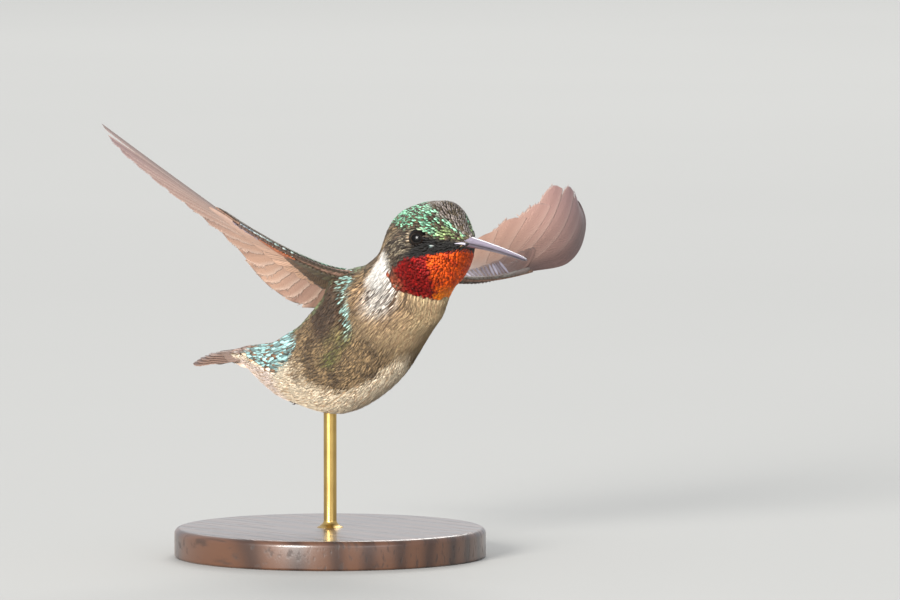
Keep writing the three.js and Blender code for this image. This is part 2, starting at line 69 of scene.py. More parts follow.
# Stations of the body: x, height, backward pitch of the section in degrees, half width, rise over
# the spine and drop under it.
BODY_STATIONS = np.array([
    [-21.8, 29.6, 10, 1.4, 1.0, 0.9],
    [-18.6, 29.8, 9, 2.2, 1.6, 1.5],
    [-14.8, 29.3, 8, 3.4, 2.6, 3.1],
    [-10.4, 28.9, 8, 4.9, 3.8, 4.95],
    [-5.6, 29.0, 12, 6.3, 5.8, 6.2],
    [-0.6, 29.8, 24, 7.2, 7.2, 8.2],
    [4.2, 32.2, 36, 7.5, 8.2, 9.0],
    [8.4, 35.4, 42, 7.4, 8.6, 9.3],
    [12.0, 38.8, 45, 7.2, 8.3, 8.8],
    [15.2, 42.0, 45, 6.4, 5.8, 8.8],
    [17.6, 44.8, 38, 5.6, 4.9, 9.5],
    [20.3, 47.3, 26, 5.55, 7.0, 9.2],
    [23.2, 49.0, 15, 5.95, 6.65, 8.0],
    [26.4, 49.5, 10, 5.75, 6.6, 6.3],
    [29.2, 49.8, 8, 3.95, 6.0, 3.6],
    [31.2, 50.0, 7, 1.95, 3.55, 1.4],
    [32.6, 50.1, 6, 1.25, 1.75, 0.9],
    [34.2, 50.0, 6, 0.88, 1.0, 0.8],
])
# The sections turn to the right over HEAD_YAW_OVER from HEAD_YAW_FROM on; the spine bends
# NECK_LAG further on.
HEAD_YAW = math.radians(-5)
HEAD_YAW_FROM = 16.0
HEAD_YAW_OVER = 6.0
NECK_LAG = 2.0
HEAD_MIDDLE = np.array([23.6, -0.5, 49.3])
BILL_ROOT = np.array([32.6, -1.277, 50.1])
# The swell over each shoulder: its middle and its reach in x and turn, and how much it adds.
SHOULDER = (11.5, 47.0)
SHOULDER_REACH = (2.6, 22.0)
SHOULDER_SWELL = 0.13


class Side(Enum):
    """A side of the bird, by its sign along Y."""

    RIGHT = -1
    LEFT = 1

    @property
    def word(self) -> str:
        """Its name."""
        return self.name.lower()


# ---- numbers

def smooth(value: Array, low: float, high: float) -> Array:
    """0 below low, 1 above high and 3t^2 - 2t^3 between them."""
    share = np.clip((np.asarray(value, float) - low) / (high - low), 0, 1)
    return share * share * (3 - 2 * share)


def fall(value: Array, low: float, high: float) -> Array:
    """1 below low and 0 above high: what smooth leaves."""
    return 1 - smooth(value, low, high)


def bell(value: Array, middle: float, reach: float) -> Array:
    """e to the power of -q^2, with q the distance from the middle against the reach."""
    return np.exp(-((value - middle) / reach) ** 2)


def between(ends: Pair, share: Array) -> Array:
    """From the first value, at share 0, evenly to the second, at share 1."""
    return ends[0] + (ends[1] - ends[0]) * share


def beside(*columns: Array) -> Array:
    """Arrays of one shape, side by side on a new last axis."""
    return np.stack(columns, -1)


def circle(count: int) -> Array:
    """Evenly spread angles once round, in radians."""
    return np.linspace(0, 2 * math.pi, count, endpoint=False)


def unit(vectors: Array) -> Array:
    """The vectors of the last axis, each divided by its length."""
    return vectors / np.maximum(np.linalg.norm(vectors, axis=-1, keepdims=True), 1e-12)


def curve(at: Array, knots: Array, values: Array) -> Array:
    """A smooth curve through given values.

    Between two knots it is the cubic that has the two values and, as its slopes, the slopes of
    the values there.

    Args:
        at: Places on the curve.
        knots: Rising places where the curve is given.
        values: The values there, one row for each knot.

    Returns:
        One row of values for each place.
    """
    slopes = np.gradient(values, knots, axis=0)
    at = np.clip(at, knots[0], knots[-1])
    i = np.clip(np.searchsorted(knots, at) - 1, 0, len(knots) - 2)
    step = (knots[i + 1] - knots[i])[..., None]
    t = (at - knots[i])[..., None] / step
    near = (1 + 2 * t) * (1 - t) ** 2 * values[i] + t * (1 - t) ** 2 * step * slopes[i]
    far = t * t * (3 - 2 * t) * values[i + 1] + t * t * (t - 1) * step * slopes[i + 1]
    return near + far


def mottle(points: Array, size: float, seed: int) -> Array:
    """Soft irregular patches.

    The sum of nine sine waves that cross the points in random directions, each about size long.

    Args:
        points: Places in space.
        size: How far apart the patches lie.
        seed: Which patches.

    Returns:
        A value between about -1 and 1 for each place.
    """
    rng = np.random.default_rng(seed)
    waves = unit(rng.normal(size=(9, 3))) * rng.uniform(0.7, 1.4, (9, 1)) * 2 * math.pi / size
    return np.sin(points @ waves.T + rng.uniform(0, 2 * math.pi, 9)).sum(-1) / 4.5


def srgb(code: int) -> Array:
    """A colour, given as a hexadecimal RRGGBB, as the linear values that a shader takes."""
    value = np.array([code >> 16, code >> 8 & 255, code & 255]) / 255
    return np.where(value <= 0.04045, value / 12.92, ((value + 0.055) / 1.055) ** 2.4)


def run_of(line: Array) -> Array:
    """How far each point of a line lies along it."""
    return np.concatenate([[0], np.cumsum(np.linalg.norm(np.diff(line, axis=0), axis=1))])


def blend(first: Array, second: Array, share: Array) -> Array:
    """The first colours, with that share of the second ones."""
    share = np.asarray(share)[..., None]
    return first * (1 - share) + second * share


def with_gloss(colour: Array, gloss: Array | float) -> Array:
    """Colours with their gloss as a fourth value."""
    return np.concatenate([colour, np.broadcast_to(gloss, colour.shape[:-1])[..., None]], -1)


# ---- forms

@dataclass(frozen=True)
class BodyForm:
    """The outer surface of head, neck, trunk and tail root, as one tube round the spine."""

    stations: Array = field(default_factory=lambda: BODY_STATIONS)

    def point(self, x: Array, turn: Array) -> Array:
        """Points on the surface.

        Each section is two half ellipses in a plane that leans back by the pitch and turns with
        the neck: the point is the spine's, plus half width times sin(turn) to the left, plus rise
        or drop times cos(turn) upward. It swells round each shoulder by a bell of x and turn.

        Args:
            x: Distance along the bird, in millimetres.
            turn: Angle round the spine from the back line, in radians, positive on the left.

        Returns:
            Points in millimetres.
        """
        x, turn = np.broadcast_arrays(np.asarray(x, float), np.asarray(turn, float))
        rows = curve(x, self.stations[:, 0], self.stations[:, 1:])
        z, pitch, wide, rise, drop = np.moveaxis(rows, -1, 0)
        pitch = np.radians(pitch)
        yaw = smooth(x, HEAD_YAW_FROM, HEAD_YAW_FROM + HEAD_YAW_OVER) * HEAD_YAW
        y = np.maximum(0, x - HEAD_YAW_FROM - NECK_LAG) * math.tan(HEAD_YAW)
        left = beside(-np.sin(yaw), np.cos(yaw), 0 * yaw)
        up = beside(-np.sin(pitch) * np.cos(yaw), -np.sin(pitch) * np.sin(yaw), np.cos(pitch))
        high = np.where(np.cos(turn) > 0, rise, drop) * np.cos(turn)
        ahead = (x - SHOULDER[0]) / SHOULDER_REACH[0]
        aside = (np.degrees(np.abs(turn)) - SHOULDER[1]) / SHOULDER_REACH[1]
        swell = 1 + SHOULDER_SWELL * np.exp(-ahead ** 2 - aside ** 2)
        wide, high = wide * swell, high * swell
        spine = beside(np.clip(x, self.stations[0, 0], self.stations[-1, 0]), y, z)
        return spine + left * (wide * np.sin(turn))[..., None] + up * high[..., None]

    def slopes(self, x: Array, turn: Array) -> tuple[Array, Array, Array]:
        """How the surface runs at some places, from differences over small steps.

        Args:
            x: Distance along the bird.
            turn: Angle round the spine.

        Returns:
            The change of the point with x, its change with turn, and the outward unit normal.
        """
        step = 0.02
        low = np.maximum(x - step, self.stations[0, 0])
        high = np.minimum(x + step, self.stations[-1, 0])
        along = (self.point(high, turn) - self.point(low, turn)) / (high - low)[..., None]
        round_ = (self.point(x, turn + step) - self.point(x, turn - step)) / (2 * step)
        return along, round_, unit(np.cross(along, round_))


BODY = BodyForm()


@dataclass(frozen=True)
class Lie:
    """Feather roots on the body, and how each feather lies there."""

    x: Array
    turn: Array
    normal: Array
    back: Array
    aside: Array

    def at(self, along: Array, across: Array, height: Array) -> Array:
        """Points that follow the bent surface from each root.

        A step in the tangent plane is turned into steps of x and turn at the root, and the point
        of the surface there is raised along the root's normal.

        Args:
            along: Distances toward the tail, one row for each root.
            across: Distances to the side.
            height: Heights over the surface.

        Returns:
            Points in millimetres.
        """
        wide = (slice(None),) + (None,) * (along.ndim - 1)
        x = self.x[wide] + along * self.back[:, 0][wide] + across * self.aside[:, 0][wide]
        turn = self.turn[wide] + along * self.back[:, 1][wide] + across * self.aside[:, 1][wide]
        normal = self.normal[wide + (slice(None),)]
        return BODY.point(x, turn) + normal * height[..., None]


def lie_of(x: Array, turn: Array, sway: Array) -> Lie:
    """How feathers lie at some places of the body.

    The way back is the surface's own run toward the tail, swung by sway about the normal. A
    tangent vector is turned into steps of x and turn by solving with the surface's metric.

    Args:
        x: Distance of each root along the bird.
        turn: Its angle round the spine.
        sway: How far each feather swings from the way back, in radians.

    Returns:
        The roots with their directions.
    """
    along, round_, normal = BODY.slopes(x, turn)
    straight = unit(-along)
    level = np.cross(normal, straight)
    swing = sway[:, None]
    back = straight * np.cos(swing) + level * np.sin(swing)
    aside = np.cross(normal, back)
    a = (along * along).sum(-1)
    b = (along * round_).sum(-1)
    c = (round_ * round_).sum(-1)
    area = np.maximum(a * c - b * b, 1e-9)

    def steps(way: Array) -> Array:
        """The steps of x and turn that run along a tangent vector."""
        p = (way * along).sum(-1)
        q = (way * round_).sum(-1)
        return beside((c * p - b * q) / area, (a * q - b * p) / area)

    return Lie(x, turn, normal, steps(back), steps(aside))


# ---- meshes

def ring_quads(rings: int, around: int, closed: bool = False) -> Array:
    """The four-cornered faces between rings of points.

    Args:
        rings: Number of rings.
        around: Number of points in a ring.
        closed: Whether the last ring joins the first.

    Returns:
        One row of four point numbers for each face.
    """
    i, j = np.meshgrid(np.arange(rings if closed else rings - 1), np.arange(around), indexing="ij")
    k, low, high = (j + 1) % around, i * around, (i + 1) % rings * around
    return beside(low + j, low + k, high + k, high + j).reshape(-1, 4)


def tube_quads(sections: int, around: int) -> Array:
    """The faces of a closed tube whose ends are closed by ladders of four-cornered faces.

    Args:
        sections: Number of rings along the tube.
        around: Number of points in a ring, an even number.

    Returns:
        One row of four point numbers for each face.
    """
    i = np.arange(around // 2 - 1)
    start = beside(i, around - 1 - i, around - 2 - i, i + 1)
    end = (sections - 1) * around + start[:, ::-1]
    return np.concatenate([ring_quads(sections, around), start, end])


def many_tubes(count: int, sections: int, around: int) -> Array:
    """The faces of many tubes of one kind, with a first axis for the tube."""
    return tube_quads(sections, around) + (np.arange(count) * sections * around)[:, None, None]


def add_object(name: str, data: bpy.types.ID) -> Object:
    """A new object in the scene that shows a mesh, lamp or camera."""
    made = bpy.data.objects.new(name, data)
    bpy.context.scene.collection.objects.link(made)
    return made


@dataclass
class Piece:
    """A mesh in the making: points in millimetres, faces, and what is stored on the points."""

    name: str
    points: Array
    faces: Array
    tint: Array | None = None
    vane: Array | None = None
    bake: Array | None = None

    def outward(self) -> Array:
        """The faces, all turned round if the volume that they enclose comes out negative: a sixth
        of the sum, over their triangles, of corner . (corner x corner)."""
        points, faces = self.points.reshape(-1, 3), self.faces.reshape(-1, 4)
        a, b, c, d = (points[faces[:, i]] for i in range(4))
        volume = (a * np.cross(b, c)).sum() + (a * np.cross(c, d)).sum()
        return faces if volume > 0 else faces[:, ::-1]

    def build(self, material: Material, slot: str, replaces: tuple[str, ...] = ()) -> Object:
        """Makes the mesh object, attaches it to the root and hides the solids that it stands for.

        Args:
            material: Its finish.
            slot: Not used.
            replaces: The solids that it stands for.

        Returns:
            The object.
        """
        mesh = bpy.data.meshes.new(self.name)
        points = np.ascontiguousarray(self.points.reshape(-1, 3) * MM, np.float32)
        faces = np.ascontiguousarray(self.outward(), np.int32)
        mesh.vertices.add(len(points))
        mesh.vertices.foreach_set("co", points.ravel())
        mesh.loops.add(faces.size)
        mesh.loops.foreach_set("vertex_index", faces.ravel())
        mesh.polygons.add(len(faces))
        mesh.polygons.foreach_set("loop_start", np.arange(0, faces.size, 4, dtype=np.int32))
        mesh.polygons.foreach_set("use_smooth", np.ones(len(faces), bool))
        corners = faces.ravel()
        for label, values in (("Vane", self.vane), ("OFBake", self.bake)):
            if values is not None:
                layer = mesh.uv_layers.new(name=label)
                values = values.reshape(-1, 2)
                values = values if len(values) == len(corners) else values[corners]
                layer.data.foreach_set("uv", np.ascontiguousarray(values, np.float32).ravel())
        if self.tint is not None:
            colour = mesh.color_attributes.new(name="tint", type="FLOAT_COLOR", domain="POINT")
            colour.data.foreach_set("color", np.ascontiguousarray(self.tint, np.float32).ravel())
        mesh.update(calc_edges=True)
        mesh.validate()
        made = add_object(self.name, mesh)
        made.data.materials.append(material)
        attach(made, ROOT)
        if replaces:
            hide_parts(*replaces)
        log.info("%s: %d triangles", self.name, 2 * len(faces))
        return made


def joined(name: str, parts: list[Piece]) -> Piece:
    """Several pieces of a kind as one.

    Args:
        name: The name of the whole.
        parts: The pieces, all with the same stored values.

    Returns:
        The joined piece.
    """
    counts = np.cumsum([0] + [part.points.reshape(-1, 3).shape[0] for part in parts])

    def together(key: str, width: int) -> Array | None:
        """The stored values of all the parts, one after another."""
        values = [getattr(part, key) for part in parts]
        if values[0] is None:
            return None
        return np.concatenate([value.reshape(-1, width) for value in values])

    faces = np.concatenate([part.outward() + start for part, start in zip(parts, counts)])
    return Piece(name, together("points", 3), faces, together("tint", 4), together("vane", 2),
                 together("bake", 2))


# ---- shader arithmetic

def operator(operation: str, swapped: bool = False) -> Callable[["Value", "Value | float"], "Value"]:
    """A method that puts a value and another through one Math node, the other first if swapped."""

    def method(self: "Value", other: "Value | float") -> "Value":
        """This value with another."""
        return self.graph.math(operation, *((other, self) if swapped else (self, other)))

    return method


class Value:
    """A socket of a shader, on which arithmetic adds Math nodes."""

    def __init__(self, graph: "Graph", socket: bpy.types.NodeSocket) -> None:
        """Keeps the graph that the socket belongs to."""
        self.graph = graph
        self.socket = socket

    __add__ = __radd__ = operator("ADD")
    __sub__, __rsub__ = operator("SUBTRACT"), operator("SUBTRACT", True)
    __mul__ = __rmul__ = operator("MULTIPLY")
    __truediv__ = operator("DIVIDE")
    __pow__ = operator("POWER")

    def __abs__(self) -> "Value":
        """Size without sign."""
        return self.graph.math("ABSOLUTE", self)

    def sine(self) -> "Value":
        """Sine of an angle in radians."""
        return self.graph.math("SINE", self)

    def ramp(self, low: float, high: float) -> "Value":
        """0 below low, 1 above high and smooth between."""
        return self.graph.value("ShaderNodeMapRange", {"interpolation_type": "SMOOTHSTEP"},
                                {"Value": self, "From Min": low, "From Max": high}, "Result")


class Graph:
    """The node tree of one material."""

    def __init__(self, name: str) -> None:
        """Makes an empty material of that name."""
        self.material = bpy.data.materials.new(name)
        self.material.use_nodes = True
        self.tree = self.material.node_tree
        self.tree.nodes.clear()

    def node(self, kind: str, settings: Options = None, inputs: Options = None) -> bpy.types.Node:
        """Adds a node.

        Args:
            kind: The node's type.
            settings: Its properties, set first.
            inputs: The values or links of its sockets, by name or number.

        Returns:
            The node.
        """
        made = self.tree.nodes.new(kind)
        for key, value in (settings or {}).items():
            setattr(made, key, value)
        for key, value in (inputs or {}).items():
            if isinstance(value, Value):
                self.tree.links.new(value.socket, made.inputs[key])
            else:
                made.inputs[key].default_value = value
        return made

    def value(self, kind: str, settings: Options = None, inputs: Options = None,
              output: int | str = 0) -> Value:
        """One output, by name or number, of a new node."""
        return Value(self, self.node(kind, settings, inputs).outputs[output])

    def math(self, operation: str, *values: Value | float) -> Value:
        """A Math node on values or numbers."""
        return self.value("ShaderNodeMath", {"operation": operation}, dict(enumerate(values)))

    def mix(self, share: Value | float, first: object, second: object, how: str = "MIX") -> Value:
        """Two colours, or links to them, mixed in some way by the share of the second."""
        return self.value("ShaderNodeMix", {"data_type": "RGBA", "blend_type": how},
                          {0: share, 6: solid(first), 7: solid(second)}, 2)

    def here(self) -> Value:
        """The object's own coordinates, in metres."""
        return self.value("ShaderNodeTexCoord", output="Object")

    def noise(self, scale: float, detail: float = 3, stretch: Triple = (1, 1, 1)) -> Value:
        """Noise about 0.5 of so many waves in a metre, finer by stretch along each axis."""
        scaled = self.value("ShaderNodeMapping", None, {"Vector": self.here(), "Scale": stretch})
        return self.value("ShaderNodeTexNoise", None,
                          {"Vector": scaled, "Scale": scale, "Detail": detail})

    def split(self, vector: Value) -> tuple[Value, Value, Value]:
        """The three parts of a vector."""
        parts = self.node("ShaderNodeSeparateXYZ", None, {0: vector})
        return tuple(Value(self, part) for part in parts.outputs)

    def uv(self, name: str) -> tuple[Value, Value]:
        """The two coordinates of a UV map of the mesh."""
        return self.split(self.value("ShaderNodeUVMap", {"uv_map": name}))[:2]

    def bump(self, height: Value, depth: float) -> Value:
        """A normal from a height; depth is in millimetres."""
        return self.value("ShaderNodeBump", None,
                          {"Strength": 1.0, "Distance": depth * MM, "Height": height})

    def finish(self, colour: object, roughness: object, **others: object) -> Material:
        """Closes the tree with the surface shader.

        Args:
            colour: Base colour, or a link to it.
            roughness: Roughness, or a link to it.
            others: Further sockets of the shader by name, with _ for a space.

        Returns:
            The material.
        """
        inputs = {"Base Color": solid(colour), "Roughness": roughness}
        inputs.update({key.replace("_", " "): value for key, value in others.items()})
        shader = self.value("ShaderNodeBsdfPrincipled", None, inputs)
        self.node("ShaderNodeOutputMaterial", None, {"Surface": shader})
        return self.material


def solid(colour: object) -> object:
    """A link as it is, and three numbers as a colour with full alpha."""
    return colour if isinstance(colour, Value) else (*(float(c) for c in colour[:3]), 1.0)


# ---- finishes

@dataclass(frozen=True)
class PlumageFinish:
    """Feathers: the stored tint, broken by barbs that slant out from the shaft, with a painted glint
    along the barbs and in specks.
    """

    name: str
    barbs: float = 9.0
    slant: float = 1.6
    barb_shade: float = 0.25
    shaft_shade: float = 0.2
    depth: float = 0.05
    roughness: float = 0.62
    gloss_roughness: float = 0.34
    metal: float = 0.45
    sheen: float = 0.1
    grain: float = 0.14

    def build(self) -> Material:
        """The material; the tint's alpha is how metallic each place shines."""
        graph = Graph(self.name)
        stored = graph.node("ShaderNodeAttribute", {"attribute_name": "tint"})
        tint = Value(graph, stored.outputs["Color"])
        gloss = Value(graph, stored.outputs["Alpha"])
        across, along = graph.uv("Vane")
        off = abs(across - 0.5)
        wave = along - off * self.slant + graph.noise(900, 2) * 0.12
        barb = (wave * (self.barbs * 2 * math.pi)).sine() * 0.5 + 0.5
        grain = graph.noise(2600, 2)
        shaft = 1 - off.ramp(0.0, 0.09)
        dark = graph.mix(1.0, tint, (0.42, 0.38, 0.36), "MULTIPLY")
        shade = barb * self.barb_shade + shaft * self.shaft_shade + grain.ramp(0.45, 0.75) * self.grain
        colour = graph.mix(shade, tint, dark)
        # Painted glint: the barbs between the dark lines, and specks of the grain, are lit toward
        # white.
        painted_glint = (1 - barb) * 0.12 + grain.ramp(0.35, 0.6) * 0.06
        light = graph.mix(painted_glint, colour, (1, 1, 1), "SOFT_LIGHT")
        rough = self.roughness - gloss * (self.roughness - self.gloss_roughness) + (grain - 0.5) * 0.12
        return graph.finish(light, rough, Metallic=gloss * self.metal,
                            Normal=graph.bump(barb * 0.6 + shaft * 0.7 + grain * 0.5, self.depth),
                            Sheen_Weight=self.sheen, Sheen_Roughness=0.4)


@dataclass(frozen=True)
class SkinFinish:
    """Bare skin and down under the feathers."""

    name: str = "skin"

    def build(self) -> Material:
        """The material, from the stored tint and a fine down."""
        graph = Graph(self.name)
        tint = graph.value("ShaderNodeAttribute", {"attribute_name": "tint"}, output="Color")
        down = graph.noise(3000, 4, (0.4, 1, 1))
        colour = graph.mix(down.ramp(0.35, 0.7) * 0.6, tint, (0.02, 0.016, 0.012))
        return graph.finish(colour, 0.85, Normal=graph.bump(down, 0.12), Specular_IOR_Level=0.15)


@dataclass(frozen=True)
class EyeFinish:
    """A wet dark eye: black, with a faint brown iris round its pupil."""

    name: str
    axis: Triple
    centre: Triple
    radius: float

    def build(self) -> Material:
        """The material; the iris is a ring about the axis, told by how far ahead along the axis a
        place lies, as a share of the radius."""
        graph = Graph(self.name)
        middle = tuple(c * MM for c in self.centre)
        out = graph.value("ShaderNodeVectorMath", {"operation": "SUBTRACT"},
                          {0: graph.here(), 1: middle})
        near = graph.value("ShaderNodeVectorMath", {"operation": "DOT_PRODUCT"},
                           {0: out, 1: self.axis}, "Value")
        ahead = near / (self.radius * MM)
        iris = ahead.ramp(0.7, 0.8) * (1 - ahead.ramp(0.86, 0.9))
        streak = graph.noise(5200, 2).ramp(0.3, 0.7)
        brown = graph.mix(streak, srgb(0x26180E), srgb(0x422A16))
        colour = graph.mix(iris * 0.15, srgb(0x070606), brown)
        return graph.finish(colour, 0.22, Coat_Weight=0.1, Coat_Roughness=0.05, Specular_IOR_Level=0.12)


@dataclass(frozen=True)
class HornFinish:
    """Satin horn of the bill, paler along its top as a painted highlight, and streaked lengthways."""

    name: str
    pale: int = 0x7C7482
    dark: int = 0x2E2A30
    roughness: float = 0.3

    def build(self) -> Material:
        """The material; the Vane map runs round the bill and along it."""
        graph = Graph(self.name)
        around, along = graph.uv("Vane")
        streak = graph.noise(900, 4, (0.12, 1, 1))
        fine = graph.noise(4200, 2, (0.1, 1, 1))
        # Painted highlight: the top of the bill is paler.
        top = 1 - abs(around - 0.5).ramp(0.12, 0.36)
        pale = top * (0.78 - along.ramp(0.5, 1.0) * 0.2) + (streak - 0.5) * 0.5 + (fine - 0.5) * 0.3
        colour = graph.mix(pale.ramp(0.0, 0.9), srgb(self.dark), srgb(self.pale))
        tip = graph.mix(along.ramp(0.93, 1.0) * 0.5, colour, srgb(0x18161A))
        rough = self.roughness + (streak - 0.5) * 0.2
        return graph.finish(tip, rough, Normal=graph.bump(streak + fine * 0.5, 0.03), Coat_Weight=0.25)


@dataclass(frozen=True)
class ScaleFinish:
    """Small dull scales of the shanks and toes."""

    name: str = "foot_scales"

    def build(self) -> Material:
        """The material; rings of scales come from a cell pattern."""
        graph = Graph(self.name)
        cell = graph.value("ShaderNodeTexVoronoi", {"feature": "DISTANCE_TO_EDGE"},
                           {"Vector": graph.here(), "Scale": 3800}, "Distance")
        edge = cell.ramp(0.0, 0.14)
        colour = graph.mix(edge, srgb(0x120E0E), srgb(0x423836))
        return graph.finish(colour, 0.5, Normal=graph.bump(edge, 0.03))


@dataclass(frozen=True)
class WoodFinish:
    """Dark wood with a satin varnish, cut along the grain."""

    name: str = "varnished_wood"

    def build(self) -> Material:
        """The material; the grain is a stack of wavy bands across Y."""
        graph = Graph(self.name)
        x, y, _ = graph.split(graph.here())
        drift = graph.noise(26, 3, (0.35, 1, 1))
        band = ((y * 1500 + x * 90 + drift * 16).sine() * 0.5 + 0.5) ** 1.6
        pore = graph.noise(1500, 3, (0.06, 1, 0.4)).ramp(0.52, 0.7)
        early = graph.mix(band, srgb(0x543624), srgb(0x341F14))
        colour = graph.mix(pore * 0.6, early, srgb(0x1E120C))
        rough = 0.34 + pore * 0.25 + (drift - 0.5) * 0.1
        return graph.finish(colour, rough, Normal=graph.bump(1 - pore * 0.6 - band * 0.1, 0.03),
                            Coat_Weight=0.5, Coat_Roughness=0.18)


@dataclass(frozen=True)
class BrassFinish:
    """Satin brass, brushed along the rod."""

    name: str = "satin_brass"

    def build(self) -> Material:
        """The material; brush marks are noise stretched along Z."""
        graph = Graph(self.name)
        brush = graph.noise(2600, 3, (1, 1, 0.05))
        stain = graph.noise(220, 3)
        colour = graph.mix(stain.ramp(0.4, 0.75) * 0.5, srgb(0xC4A462), srgb(0x96743E))
        return graph.finish(colour, 0.24 + brush * 0.16, Metallic=1.0, Normal=graph.bump(brush, 0.01))


@dataclass(frozen=True)
class FloorFinish:
    """Plain matt pale floor."""

    name: str = "pale_floor"

    def build(self) -> Material:
        """The material, with a faint unevenness."""
        graph = Graph(self.name)
        colour = graph.mix(graph.noise(3, 2), srgb(0xA8A8A5), srgb(0xADADAA))
        return graph.finish(colour, 0.8)


# ---- markings

class Hue(Enum):
    """The colours of the plumage."""

    MINT = 0x84CEA6
    DEEP_GREEN = 0x647452
    YELLOW_GREEN = 0xAABE70
    BRONZE = 0x4A3E2C
    FOREHEAD = 0x867C78
    CHEEK = 0xA89A7E
    CHEEK_DARK = 0x4A3C2E
    MASK = 0x14110E
    RED = 0x8A0E0A
    DEEP_RED = 0x6E060A
    ORANGE = 0xE45609
    AMBER = 0xFA8C10
    WHITE = 0xFFFBF4
    TAN = 0xCEA87E
    STREAK_DARK = 0x422C1C
    BREAST = 0xD0B68A
    FLANK = 0x9E825C
    FLANK_DARK = 0x58462E
    FLANK_GREEN = 0x686C34
    CREAM = 0xFFEED0
    VENT = 0xFFEADE
    RUMP = 0x8CBEBE
    RUMP_EDGE = 0x70543E
    TAIL_COVERT = 0x86746E
    RUST = 0x864228
    CYAN = 0xA8D6CC
    PAINTED_WING_SHADOW = 0x4A3828

    @property
    def linear(self) -> Array:
        """The colour as the shader takes it."""
        return srgb(self.value)


class Zone(Enum):
    """The parts of the plumage, numbered in the order in which they are painted."""

    FLANK, BELLY, VENT, BREAST, BACK, STRIP, RUMP, NAPE, COLLAR, CHEEK, CROWN, MASK, GORGET = range(13)


